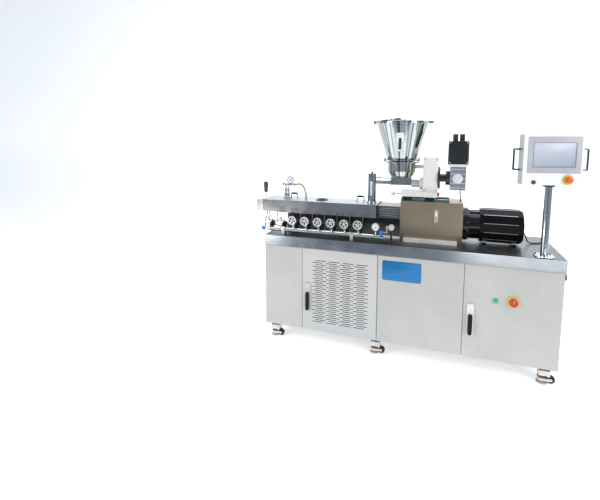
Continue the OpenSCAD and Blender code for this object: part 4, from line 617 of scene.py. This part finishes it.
def patchwork(name, ground, *patches, grain=160, depth=0.12, clouds=8, hairs=(1, 1, 1), edge_wear_and_light=None,
        painted_reflections=None, band_depth=0.3):
    """The ground look, covered by each patch in turn. A patch is a mask maker and a look."""
    f = Finish(name)
    parts = dict(ground)
    # Painted reflections: dark upright bands over the ground colour.
    if painted_reflections:
        parts["colour"] = f.mix(f.bands(*painted_reflections), dimmed(ground["colour"], band_depth), ground["colour"])
    for where, cover in patches:
        mask = where(f)
        parts["colour"] = f.mix(mask, parts["colour"], cover["colour"])
        for key in ("rough", "metal", "coat"):
            if cover[key] != parts[key]:
                parts[key] = mask * (cover[key] - parts[key]) + parts[key]
    cloud, grit = f.noise(clouds, detail=3), f.noise(grain, hairs)
    soft = f.rounded(0.001)
    colour = f.mix(f.level(cloud * 0.5 + grit * 0.5, 0.38, 0.66, 0.32, 0.0), parts["colour"], SOILED, "MULTIPLY")
    # Tinted edges: partly wear, partly painted light, a highlight where the tint is paler and shade where it is darker.
    if edge_wear_and_light:
        colour = f.mix(f.edge(soft) * 0.6, colour, edge_wear_and_light)
    return f.wear(colour=colour, rough=f.level(cloud, 0.3, 0.7, -0.04, 0.05) + parts["rough"],
        metal=parts["metal"], coat=parts["coat"], normal=f.bump(grit, depth, 0.0003, soft))

def in_box(low, high, turned=False):
    return lambda f: f.inside(low, high, turned)

def in_bar(centre, axis, radius):
    return lambda f: f.about(centre, axis, radius)

def both(one, other):
    return lambda f: one(f) * other(f)

ANY = None
CHROME = look(tint(205, 207, 212), 0.1, 1)
print("patches ready")

# %% Worktop: brushed apron, duller top
patchwork("worktop_steel", look(tint(146, 152, 157), 0.2, 1),
    (in_box((ANY, ANY, 819.5), (ANY, ANY, ANY)), look(tint(122, 124, 123), 0.36, 1)),
    # Paler edges: partly wear, partly painted highlight.
    grain=700, hairs=(0.03, 1, 1), depth=0.1, edge_wear_and_light=tint(225, 228, 230)).dress("worktop")

# %% Cabinet and right door: gland, lock plate, lamp ring and isolator plate
patchwork("panel_coat", look(POWDER, 0.38),
    (in_box((1966.6, 33, 681), (ANY, 81, 729)), look(tint(24, 24, 26), 0.4)),
    depth=0.1, clouds=3).dress("panels_and_hinges")
patchwork("door_coat", look(POWDER, 0.38),
    (in_box((1435, ANY, 266), (1479, 8.9, 484)), look(tint(222, 221, 212), 0.3)),
    (both(in_bar((1600.83, 0, 521), 1, 16), in_box((ANY, ANY, ANY), (ANY, 8.9, ANY))),
        look(tint(190, 192, 190), 0.2, 1)),
    (in_box((1669, ANY, 494), (1731, 8.9, 556)), look(tint(226, 196, 60), 0.35)),
    depth=0.1, clouds=3).dress("right_door")

# %% Barrel cover: brushed front, paler top, black grips
patchwork("cover_steel", look(tint(166, 163, 165), 0.2, 1),
    (in_box((ANY, ANY, 1060.9), (ANY, ANY, 1062)), look(tint(172, 176, 172), 0.3, 1)),
    *[(in_box((x, ANY, 1094.5), (x + 50, ANY, ANY)), look(tint(18, 18, 18), 0.4)) for x in (105, 647)],
    # Paler edges: partly wear, partly painted highlight.
    grain=600, hairs=(0.02, 1, 1), depth=0.06, edge_wear_and_light=tint(215, 217, 217)).dress("barrel_cover")

# %% Die head: bright guard, black knob
patchwork("die_steel", look(tint(226, 226, 222), 0.24, 1),
    (in_box((ANY, ANY, 1103), (ANY, ANY, ANY)), look(tint(14, 14, 18), 0.2, 0, 0.6)),
    grain=300, hairs=(1, 1, 0.05), depth=0.15).dress("die_head")

# %% Cooling water: bright pipe, plated valves, black coils
patchwork("manifold_steel", look(tint(206, 212, 216), 0.18, 1),
    (in_box((ANY, ANY, ANY), (-16, ANY, ANY)), look(tint(52, 120, 168), 0.25, 0.1, 0.4)),
    *[(in_box((x, 38, 819), (x + 22, ANY, 867)), look(tint(214, 212, 204), 0.3, 0.4)) for x in (123, 650)],
    grain=260, hairs=(0.05, 1, 1)).dress("cooling_manifold")
patchwork("valve_metal", look(tint(176, 164, 140), 0.22, 1),
    (in_box((ANY, 94, 862), (ANY, 144, 905)), look(tint(18, 18, 20), 0.35)),
    (in_box((ANY, 144, ANY), (ANY, ANY, ANY)), look(tint(150, 146, 140), 0.3, 1)),
    (in_box((790, ANY, ANY), (850, ANY, ANY)), CHROME),
    (in_box((914, ANY, ANY), (ANY, ANY, ANY)), look(tint(214, 214, 220), 0.3, 0.5)),
    (in_box((914, ANY, ANY), (ANY, ANY, 908.5)), look(tint(44, 44, 46), 0.3, 0.4)),
    grain=120).dress("valve_blocks")

# %% Gearbox cover: bronze sheet with a bright oil sight frame
patchwork("gearbox_sheet", look(tint(164, 148, 128), 0.36, 1),
    (in_box((1211, ANY, 959), (1239, 187.9, 1053)), look(tint(214, 214, 208), 0.2, 0.8)),
    # Paler edges: partly wear, partly painted highlight.
    grain=700, hairs=(1, 1, 0.02), clouds=3, depth=0.1, edge_wear_and_light=tint(226, 212, 196)).dress("gearbox_cover")

# %% Drive: gloss black castings with pale edges, partly wear and partly painted highlight, and painted highlights where the motor leaves its round
MOTOR_AXIS = (1600, 300, 946)

def off_bar(centre, axis, radius):
    return lambda f: 1 - f.about(centre, axis, radius)

# Pale edges on the gloss black: partly wear, partly painted highlight.
gloss_black = paint("gloss_black", tint(11, 11, 12), 0.18, dimple=0.2, coat=0.35, edge_wear_and_light=tint(90, 92, 96))
gloss_black.wear(shine=0.25).dress("bell_housing")
patchwork("motor_black", look(tint(9, 9, 10), 0.3),
    # Painted highlights: what stands outside the motor's round is painted pale, for the light lines along its edges.
    (both(off_bar(MOTOR_AXIS, 0, 116.2), in_box((1520, ANY, 832), (1756, ANY, ANY))),
        look(tint(196, 198, 200), 0.3, 0.6)),
    grain=260, depth=0.2).wear(shine=0.15).dress("main_motor")

# %% Feeder: white base on black carriages, white gear column, bare worm box, black motor
warm_white = look(tint(226, 224, 216), 0.36)
carriage_green = look(tint(20, 150, 96), 0.3)
carriage_ends = [(in_box((x, ANY, 1104), (x + 7, ANY, 1131)), carriage_green) for x in (988, 1059, 1136, 1207)]
patchwork("feeder_coat", warm_white,
    (in_box((ANY, ANY, ANY), (ANY, ANY, 1130.9)), look(tint(24, 26, 28), 0.3, 0.2)), *carriage_ends,
    (in_box((ANY, ANY, ANY), (974.5, ANY, ANY)), look(tint(214, 212, 206), 0.2, 0.6)), depth=0.1).dress("feeder_base")
patchwork("column_coat", warm_white,
    (in_box((ANY, ANY, ANY), (1102.9, ANY, ANY)), look(tint(206, 202, 192), 0.28, 0.5)), depth=0.1,
    clouds=4).dress("feeder_drive_box")
worm_box_ribs = look(tint(246, 247, 250), 0.3, 0.2)
patchwork("dosing_drive", look(tint(24, 24, 27), 0.3, 0, 0.3),
    (in_box((1303.9, ANY, ANY), (ANY, ANY, 1346)), look(tint(148, 151, 164), 0.3, 0.4)),
    (in_box((1303.9, ANY, ANY), (ANY, 244.6, 1346)), worm_box_ribs),
    (in_box((1303.9, 355.4, ANY), (ANY, ANY, 1346)), worm_box_ribs),
    (in_box((1280, ANY, 1345.9), (ANY, ANY, 1364)), look(tint(232, 232, 230), 0.3)),
    (in_box((ANY, ANY, 1522.1), (ANY, ANY, ANY)), look(tint(44, 44, 46), 0.4)),
    grain=120, hairs=(1, 1, 0.06), depth=0.12).dress("feeder_motor")

# %% Hopper, its lid, the feeder's bowl and the chute
HOPPER_AXIS = (971, 300, 0)

# The hopper gets painted reflections: dark upright bands round the hopper's axis.
patchwork("cone_steel", look(tint(206, 214, 212), 0.1, 1),
    (in_box((946, ANY, 1451), (996, 300, 1579)), look(tint(240, 241, 241), 0.3, 0.3)),
    grain=30, hairs=(1, 1, 0.3), depth=0.15, painted_reflections=(HOPPER_AXIS, 7, 0.41, 0.54), band_depth=0.25).dress("hopper")
polished("lid_steel", tint(196, 204, 204), 0.2, 0.2, 9).dress("hopper_lid")
# The bowl gets painted reflections: dark upright bands round the hopper's axis.
patchwork("bowl_steel", look(tint(214, 212, 206), 0.12, 1),
    (in_box((ANY, ANY, ANY), (ANY, ANY, 1261)), look(tint(164, 172, 174), 0.16, 1)),
    grain=40, depth=0.3, painted_reflections=(HOPPER_AXIS, 6, 0.42, 0.54), band_depth=0.3).dress("feeder_trough")
patchwork("chute_steel", look(tint(160, 168, 174), 0.2, 1),
    (in_box((ANY, ANY, ANY), (ANY, ANY, 1070)), look(tint(196, 200, 204), 0.14, 1)),
    (in_box((ANY, ANY, 1279), (ANY, ANY, ANY)), look(tint(60, 60, 64), 0.3, 0.6)), grain=60).dress("feed_chute")

# %% Operator panel: white box, grey side, metallic bezel, bright pulls, yellow ring
patchwork("panel_coat_white", look(tint(244, 243, 242), 0.3),
    (in_box((ANY, -61, ANY), (-169.5, ANY, 299), True), look(tint(150, 157, 156), 0.3)),
    (in_box((-148, ANY, 71), (137, -61.95, 283), True), look(tint(184, 184, 186), 0.34, 0.2)),
    (in_box((ANY, ANY, 80), (-170.5, -5, ANY), True), look(tint(120, 124, 126), 0.16, 1)),
    (in_box((150.5, ANY, 80), (ANY, -5, ANY), True), look(tint(120, 124, 126), 0.16, 1)),
    (in_box((ANY, ANY, 88), (-208, -5, ANY), True), look(tint(18, 18, 20), 0.3)),
    (in_box((188, ANY, 88), (ANY, -5, ANY), True), look(tint(18, 18, 20), 0.3)),
    (in_box((42, ANY, 3), (104, -62.1, 65), True), look(tint(206, 214, 70), 0.35)),
    (in_box((-122, ANY, 2), (-94, -62.1, 30), True), look(tint(150, 150, 154), 0.2, 0.9)),
    (in_box((ANY, ANY, ANY), (ANY, ANY, -0.1), True), look(tint(60, 62, 66), 0.3, 0.7)), depth=0.08, clouds=3,
    # Darker edges on the white box: painted shade along them.
    edge_wear_and_light=tint(176, 182, 188)).dress("panel_box")

# %% Casters: ivory housings with dark red thumb wheels
patchwork("caster_ivory", look(tint(222, 218, 208), 0.4),
    (in_box((ANY, ANY, 40), (ANY, ANY, 54)), look(tint(120, 30, 30), 0.4)),
    (in_box((ANY, ANY, 91), (ANY, ANY, ANY)), look(tint(40, 50, 62), 0.4, 0.5)),
    (in_box((ANY, ANY, ANY), (ANY, ANY, 9)), look(tint(196, 197, 192), 0.5)), depth=0.1).dress(
    *[f"caster_housing_{i}" for i in range(1, 7)])
print("every solid has a finish:", all(o.data.materials and o.data.materials[0] for o in nodes.values()))

# %% [markdown]
# ## The bare nameplate
# A rounded plate is glued to the middle panel. It stays bare: printed blue, with a satin sheen that runs
# along the sheet. The plate is a cube whose four upright edges are rounded, then its front edge.

# %% Nameplate
plate_blue = brushed("plate_blue", tint(20, 112, 168), 0.3, (0.03, 1, 1), 260, 0.1, 0.9)
plate_blue.wear(metal=0.25)
shape = bmesh.new()
plate(shape, (888, 8, 573), (1147, 9, 711), 12, 0.35)
finished(shape, "nameplate", plate_blue, "base")

# %% [markdown]
# ## The display
# The panel's screen is dark glass that mirrors a bright room, so it reads as a pale grey-blue that
# deepens downwards. That look is a painted reflection in its colour: a level along the height, mixed
# with one across, paints it.

# %% Display glass
display = Finish("display_glass")
across, up = display.along(0, True), display.along(2, True)
# Painted reflection: the glass is paler upwards and towards the left, with a little noise.
reflection_fade = display.level(up * 0.8 + across * -0.3, 0.06, 0.24)
display.wear(colour=display.mix(display.level(display.noise(5, detail=1) * 0.12 + reflection_fade * 0.88, 0, 1),
    tint(146, 158, 172), tint(206, 208, 216)), rough=0.3, coat=0.15, coat_rough=0.2)
shape = bmesh.new()
plate(shape, (-117.3, -61.6, 107.2), (106.3, -60.1, 246.8), 2, 0.4)
finished(shape, "display_glass", display, "panel", PANEL)

display_rim = plastic("display_rim", tint(120, 124, 136), 0.35)
shape = bmesh.new()
for low, high in [((-120, -64.6, 104.5), (109, -63.9, 107)), ((-120, -64.6, 247), (109, -63.9, 249.5)),
        ((-120, -64.6, 107), (-117.5, -63.9, 247)), ((106.5, -64.6, 107), (109, -63.9, 247))]:
    block(shape, low, high, 0.2, 1)
finished(shape, "display_rim", display_rim, "panel", PANEL)

# %% [markdown]
# ## Dials
# Two dials tell pressure: one on the vent, one on the cooling pipe. A dial is a turned chrome bezel, a
# white enamelled face, printed ticks over three quarters of a turn and a needle. The ticks are real
# slivers rather than a texture, which keeps them sharp close up.

# %% A dial
enamel = plastic("enamel", tint(232, 234, 236), 0.25, 500, 0.03, coat=0.8)
print_black = plastic("print_black", tint(20, 20, 24), 0.5)
chrome = polished("chrome", tint(206, 208, 212), 0.08, 0.05, 30)

TICKS, FIRST_TICK, SWEEP = 41, 225, 270

def dial(name, centre, radius, body):
    """A dial, drawn at a radius of 28 mm and scaled."""
    x, y, z = centre
    k = radius / 28
    shape = bmesh.new()
    lathe(shape, [(27.6 * k, -3), (28.6 * k, -2), (28.6 * k, 1.4), (27.4 * k, 2.8), (25.6 * k, 2.8), (24.6 * k, 1.4),
        (24.6 * k, 0.2)], centre, FRONT)
    finished(shape, name + "_bezel", chrome, body)
    shape = bmesh.new()
    lathe(shape, [(0, 0.6), (24.8 * k, 0.6), (24.8 * k, 0.1), (0, 0.1)], centre, FRONT)
    finished(shape, name + "_face", enamel, body)
    shape = bmesh.new()
    for i in range(TICKS):
        turn = radians(FIRST_TICK - SWEEP * i / (TICKS - 1))
        long = i % 5 == 0
        inner, wide = (17.5 if long else 20) * k, (0.75 if long else 0.35) * k
        mark = bmesh.new()
        block(mark, (inner, -0.3, -wide), (22.5 * k, 0.1, wide))
        bmesh.ops.transform(mark, matrix=Matrix.Translation((x, y - 0.7, z)) @ Matrix.Rotation(-turn, 4, "Y"),
            verts=mark.verts)
        spare = bpy.data.meshes.new("spare")
        mark.to_mesh(spare)
        shape.from_mesh(spare)
        bpy.data.meshes.remove(spare)
        mark.free()
    bar(shape, (x + 7 * k, y - 1.1, z + 5.5 * k), (x - 14 * k, y - 1.1, z - 11 * k), 1.3 * k, 6, 0.4 * k)
    bar(shape, (x, y, z), (x, y - 2, z), 2.6 * k, 20)
    finished(shape, name + "_marks", print_black, body)

dial("water_dial", (828, 59, 925), 28, "base")
dial("vacuum_dial", (100, 286, 1213), 30, "base")

# %% [markdown]
# ## The vacuum vent
# Two upright tubes stand on a flange over the barrel port nearest the die head, joined by a cross tube
# that carries the dial, a hand knob and the hose. A plain cap closes the port further along. The whole
# unit is turned from bar, so every part of it is an outline on the lathe, with hexagonal union nuts where
# it can be taken apart. Both the flange and the cap have a short spigot that reaches down into the port.

# %% Vent tubes, cross and flange
VENT_X, CAP_X, AXIS_Y, COVER_TOP, CROSS_Z = 66, 365, 300, 1061, 1175
SPIGOT = [(0, 0), (13.7, 0), (13.7, 6.2), (0, 6.2)]

vent_steel = polished("vent_steel", tint(184, 184, 182), 0.14, 0.12, 25)
shape = bmesh.new()
lathe(shape, [(0, 0), (29.2, 0), (30, 0.8), (30, 7), (29, 8), (0, 8)], (VENT_X, AXIS_Y, COVER_TOP), UP)
lathe(shape, SPIGOT, (VENT_X, AXIS_Y, COVER_TOP - 6), UP)
for x in (VENT_X - 12, VENT_X + 12):
    lathe(shape, [(0, 7.5), (11.6, 7.5), (11.6, 12), (9.6, 13), (9.6, 32), (10, 33), (10, 106), (8.8, 108), (8.8, 112),
        (10, 113), (10, 119), (8.5, 120), (0, 120)], (x, AXIS_Y, COVER_TOP), UP)
    bar(shape, (x, AXIS_Y, 1084), (x, AXIS_Y, 1098), 12.6, HEX)
bar(shape, (54, AXIS_Y, CROSS_Z), (147.5, AXIS_Y, CROSS_Z), 8)
for x0, x1, r in ((90, 101, 11), (128, 140, 10.5)):
    bar(shape, (x0, AXIS_Y, CROSS_Z), (x1, AXIS_Y, CROSS_Z), r, HEX)
lathe(shape, [(0, 0), (8.6, 0), (9, 1), (9, 9), (8, 11), (0, 11)], (145, AXIS_Y, 1175.5), (1, 0.12, 0.1))
bar(shape, (100, AXIS_Y, CROSS_Z), (100, AXIS_Y, 1188), 6.5, HEX)
bar(shape, (100, AXIS_Y, 1180), (100, AXIS_Y, 1190), 4)
for across, back in in_ring(4, 23.5):
    x, y = VENT_X + across, AXIS_Y + back
    bar(shape, (x, y, 1068.5), (x, y, 1072.5), 4.2, HEX)
finished(shape, "vent_body", vent_steel, "base", stand_for=("vent_unit",))

# %% Dial case, knob and port cap of the vent
shape = bmesh.new()
lathe(shape, [(0, 0), (26.5, 0), (28, 1.5), (28, 23), (0, 23)], (100, 312, 1213), FRONT)
finished(shape, "vacuum_dial_case", chrome, "base", stand_for=("vent_unit",))
shape = bmesh.new()
lathe(shape, [(0, 0), (3.5, 0), (3.5, 11), (9.4, 12), (10, 13), (10, 17), (9, 18), (0, 18)],
    (48, AXIS_Y, CROSS_Z), LEFT, 24)
finished(shape, "vent_knob", black_plastic, "base", stand_for=("vent_unit",))
port_dark = polished("port_dark", tint(86, 82, 76), 0.28, 0.1, 20)
shape = bmesh.new()
lathe(shape, [(0, 0), (46, 0), (47, 1), (47, 6), (46, 7), (27, 7), (26, 8), (26, 13), (25, 14), (0, 14)],
    (CAP_X, AXIS_Y, COVER_TOP), UP)
lathe(shape, SPIGOT, (CAP_X, AXIS_Y, COVER_TOP - 6), UP)
finished(shape, "port_cap", port_dark, "base", stand_for=("vent_unit",))

# %% [markdown]
# ## Glass and lamps
# Small windows let the operator see what flows: oil in the gearbox, granules in the hopper and the chute.
# The right door has a green lamp. Glass this thin over something dark looks dark with a hard highlight, so
# a coat over a deep colour is enough, and it renders without noise.

# %% Windows
oil = Finish("sight_oil")
fill = oil.level(oil.along(2) + oil.noise(60) * 0.002, 1.001, 1.003)
oil.wear(colour=oil.mix(fill, tint(206, 160, 52), tint(226, 228, 222)), rough=0.1, coat=1.0, coat_rough=0.02)
shape = bmesh.new()
plate(shape, (1218.3, 178.6, 973.3), (1231.7, 180, 1038.7), 2, 0.5)
finished(shape, "oil_lens", oil, "base")
shape = bmesh.new()
for z in (966, 1046):
    lathe(shape, [(0, 0), (3.6, 0), (3.6, 2), (2.8, 2.8), (0, 2.8)], (1225, 178, z), FRONT, 20)
finished(shape, "oil_sight_screws", chrome, "base")

smoked = Finish("smoked_glass")
smoked.wear(colour=smoked.mix(smoked.noise(30), tint(26, 31, 31), tint(52, 58, 56)), rough=0.12,
    coat=1.0, coat_rough=0.03)
CONE_SLOPE = radians(-17.2551)
CONE = BENCH @ Matrix.Translation((HOPPER_AXIS[0], 157, 1515)) @ Matrix.Rotation(CONE_SLOPE, 4, "X")
shape = bmesh.new()
plate(shape, (-9.8, -2.4, -55.8), (9.8, -0.8, 55.8), 9.7, 0.4)
finished(shape, "hopper_pane", smoked, "feeder", CONE)

# The chute's pane is painted pale, paler upwards: a painted reflection of the room.
pale_pane = Finish("pale_pane")
reflection_paler_upwards = pale_pane.level(pale_pane.along(2), 1.11, 1.23)
pale_pane.wear(colour=pale_pane.mix(reflection_paler_upwards, tint(196, 208, 220), tint(226, 232, 238)),
    rough=0.15, coat=1.0, coat_rough=0.04)
shape = bmesh.new()
plate(shape, (751, 265, 1115), (765, 266.2, 1223), 3, 0.4)
finished(shape, "chute_pane", pale_pane, "base")

# %% Lamp, isolator pointer and lever caps
lamp_green = Finish("lamp_green")
lamp_green.wear(colour=lamp_green.mix(lamp_green.noise(90, detail=1), tint(0, 128, 84), tint(20, 176, 120)), rough=0.16,
    coat=1.0, glow=tint(0, 120, 70), glow_strength=0.25)
shape = bmesh.new()
lathe(shape, [(0, 0), (15, 0), (14.4, 2.4), (11.8, 4.6), (7, 6), (0, 6.6)], (1600.83, -3, 521), FRONT, 32)
finished(shape, "door_lamp", lamp_green, "right_door")
pointer_white = plastic("pointer_white", tint(236, 236, 232), 0.4)
shape = bmesh.new()
block(shape, (1698.6, -20.1, 530), (1701, -19.2, 546), 0.2, 1)
finished(shape, "isolator_pointer", pointer_white, "isolator")
for body, x in (("vented_door_lever", 346), ("right_door_lever", 1456.83)):
    shape = bmesh.new()
    lathe(shape, [(0, 0), (7.5, 0), (7.5, 0.8), (6, 1.6), (0, 1.6)], (x, -15.2, 402), FRONT, 24)
    finished(shape, body + "_cap", black_plastic, body)

# %% [markdown]
# ## Back sheet behind the valves
# A dark sheet stands between the hot barrel and the valves, so the handwheels show bright against it. It
# stands in for the dark zone there, partly parts that are left out and partly painted shade. Its lower
# part is painted paler, which lightens its reflection in the bench top. A sheet is bent, not cut from a
# block: a strip of three flats gets its thickness from a solidify step.

# %% Dark sheet behind the valves, partly painted shade, painted paler below
shade_sheet = Finish("shade_sheet")
height = shade_sheet.level(shade_sheet.along(2) + shade_sheet.noise(9, (1, 1, 0.2)) * 0.03, 0.86, 0.94)
scratches = shade_sheet.noise(300, (0.04, 1, 1))
# Painted paler below, which lightens its reflection in the bench top; dark above.
shade_sheet.wear(colour=shade_sheet.mix(height, tint(118, 112, 98), tint(30, 28, 27)), metal=0.3,
    rough=shade_sheet.level(scratches, 0.3, 0.7, 0.24, 0.4), normal=shade_sheet.bump(scratches, 0.15, 0.0001))
shape = bmesh.new()
drawn_out(shape, ((94, 229, 833), (94, 237, 833), (94, 237, 960), (94, 246, 960)), 882)
bmesh.ops.solidify(shape, geom=shape.faces[:], thickness=1.5)
finished(shape, "valve_shade_sheet", shade_sheet, "base")

# %% [markdown]
# ## Filter mat
# Behind the slots of the vented door hangs a black filter mat, which is why the slots look black from
# outside. It is a thin block with a foam bump.

# %% Filter mat behind the slots
foam = plastic("foam", tint(14, 14, 15), 0.9, 380, 0.8)
shape = bmesh.new()
block(shape, (330, 11.2, 176), (834, 14, 676), 0.5, 1)
finished(shape, "filter_mat", foam, "vented_door")

# %% [markdown]
# ## Nuts and screws
# A screw head is a turned disc or a six sided bar, repeated round a circle. `in_ring` gives the places
# on the bell housing and on the worm box's bearing cover, and heads in pairs hold the feeder.

# %% Screw heads
bolt_steel = polished("bolt_steel", tint(120, 122, 126), 0.3, 0.1, 60)
bright_bolt = polished("bright_bolt", tint(214, 214, 212), 0.2, 0.1, 60)
shape = bmesh.new()
for back, up in in_ring(12, 108.6):
    lathe(shape, [(0, 0), (4.9, 0), (4.9, 6.4), (4.2, 7.2), (2.6, 7.2), (2.4, 4.4), (0, 4.4)],
        (1425, MOTOR_AXIS[1] + back, MOTOR_AXIS[2] + up), RIGHT, 16)
finished(shape, "bell_screws", bolt_steel, "base")
shape = bmesh.new()
for x in (1297.5, 1409.5):
    for z in (1375, 1511):
        lathe(shape, [(0, 0), (5.4, 0), (5.4, 1.2), (4.4, 2.4), (0, 2.4)], (x, 233, z), FRONT, 20)
finished(shape, "dosing_motor_screws", bright_bolt, "feeder")
shape = bmesh.new()
for x in (1138, 1214):
    for z in (1179, 1396):
        lathe(shape, [(0, 0), (4, 0), (3.6, 1.4), (2, 2.2), (0, 2.4)], (x, 240, z), FRONT, 16)
finished(shape, "column_screws", bolt_steel, "feeder")

# %% Bearing cover on the worm box
WORM_X, WORM_Z = 1353.5, 1264

cover_metal = cast("cover_metal", tint(238, 239, 243), 0.3, 200, 0.05, 0.3)
shape = bmesh.new()
lathe(shape, [(0, 0), (33, 0), (34, 1), (34, 3), (33, 4), (22, 4), (20, 2.4), (8, 2.4), (7, 4.4), (0, 4.4)],
    (WORM_X, 239, WORM_Z), FRONT)
for across, up in in_ring(6, 27.5):
    x, z = WORM_X + across, WORM_Z + up
    bar(shape, (x, 235.4, z), (x, 232.4, z), 3.4, HEX)
finished(shape, "worm_box_cover", cover_metal, "feeder")

# %% Acorn nuts on the handwheels
FIRST_VALVE_X, VALVE_PITCH, VALVE_Z = 13, 99, 935

for i, wheel in enumerate(HANDWHEELS):
    x = FIRST_VALVE_X + VALVE_PITCH * i
    shape = bmesh.new()
    bar(shape, (x, 31, VALVE_Z), (x, 26.5, VALVE_Z), 6, HEX)
    lathe(shape, [(0, 0), (4.8, 0), (4.4, 2), (2.8, 3.6), (0, 4.2)], (x, 26.6, VALVE_Z), FRONT, 16)
    finished(shape, f"handwheel_nut_{i + 1}", chrome, wheel)

# %% The yellow clamp on the sight rod
clamp_yellow = plastic("clamp_yellow", tint(214, 196, 40), 0.4)
shape = bmesh.new()
lathe(shape, [(4.2, 0), (8.6, 0), (9, 0.6), (9, 9.4), (8.6, 10), (4.2, 10)], (807, AXIS_Y, 1250), RIGHT, 28)
bar(shape, (812, AXIS_Y, 1258), (812, AXIS_Y, 1266), 3, 16)
finished(shape, "rod_clamp", clamp_yellow, "feeder")

# %% [markdown]
# ## The studio
# The machine stands in a plain pale studio. Paper that curves up from floor to wall has no horizon line,
# and paper that glows a little stays white in the corners. Broad, soft lamps from the left, the right and
# above leave no hard shadow. What is in front of the machine matters too, because polished steel shows
# whatever faces it. So the room there is dim and slightly blue, and two low cards brighten only the
# ends of the bench's apron.

# %% Floor and lamps
def studio_floor():
    """Paper in metres: flat from near to where it curves, a quarter round, then up the wall."""
    near, far, radius, top, left, wide = -2.3, 3.2, 1.6, 7.0, -14, 28
    quarter = [a * pi / 24 for a in range(1, 13)]
    line = [(near, 0.0), (far - radius, 0.0)]
    line += [(far - radius + radius * sin(a), radius - radius * cos(a)) for a in quarter]
    line += [(far, top)]
    shape = bmesh.new()
    drawn_out(shape, [(left, y, z) for y, z in line], wide)
    mesh = bpy.data.meshes.new("studio_floor")
    shape.to_mesh(mesh)
    shape.free()
    smooth(mesh)
    floor = put("studio_floor", mesh)
    matt = Finish("studio_white")
    matt.wear(colour=matt.mix(matt.noise(0.6), tint(250, 250, 250), tint(253, 253, 253)), rough=0.9,
        glow=tint(255, 255, 255), glow_strength=0.35)
    mesh.materials.append(matt.material)
    floor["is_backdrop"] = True

def softbox(name, place, aim, size, power, warmth=(1, 1, 1)):
    light = bpy.data.lights.new(name, "AREA")
    light.shape, light.size, light.size_y, light.energy, light.color = "RECTANGLE", size[0], size[1], power, warmth
    lamp = put(name, light)
    lamp.location = place
    lamp.rotation_euler = (Vector(aim) - Vector(place)).to_track_quat("-Z", "Y").to_euler()

studio_floor()
softbox("left_softbox", (-3.6, -3.0, 2.6), (0, 0, 0.8), (1.6, 2.4), 85)
softbox("right_softbox", (3.6, -2.8, 2.4), (0.3, 0, 0.9), (1.6, 2.4), 80)
softbox("top_softbox", (0, 0.2, 4.2), (0, 0.4, 0.5), (6.0, 3.0), 120)
softbox("left_card", (-2.75, -3.1, 0.06), (-0.9, -0.3, 0.8), (1.4, 0.2), 10)
softbox("right_card", (1.25, -3.1, 0.06), (0.8, -0.3, 0.8), (1.4, 0.2), 5, (1, 0.97, 0.93))

ROOM_COLOUR, ROOM_GLOW = (0.60, 0.69, 0.80, 1), 0.6
world = bpy.data.worlds.new("studio")
scene.world = world
world.use_nodes = True
room = world.node_tree.nodes["Background"]
room.inputs["Color"].default_value, room.inputs["Strength"].default_value = ROOM_COLOUR, ROOM_GLOW
scene.view_settings.view_transform = "Standard"

# %% [markdown]
# ## Measure
# The visual machine's box is measured and printed.

# %% Measure and finish
low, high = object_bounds()
print("visual box", [round(v, 3) for v in low], [round(v, 3) for v in high])
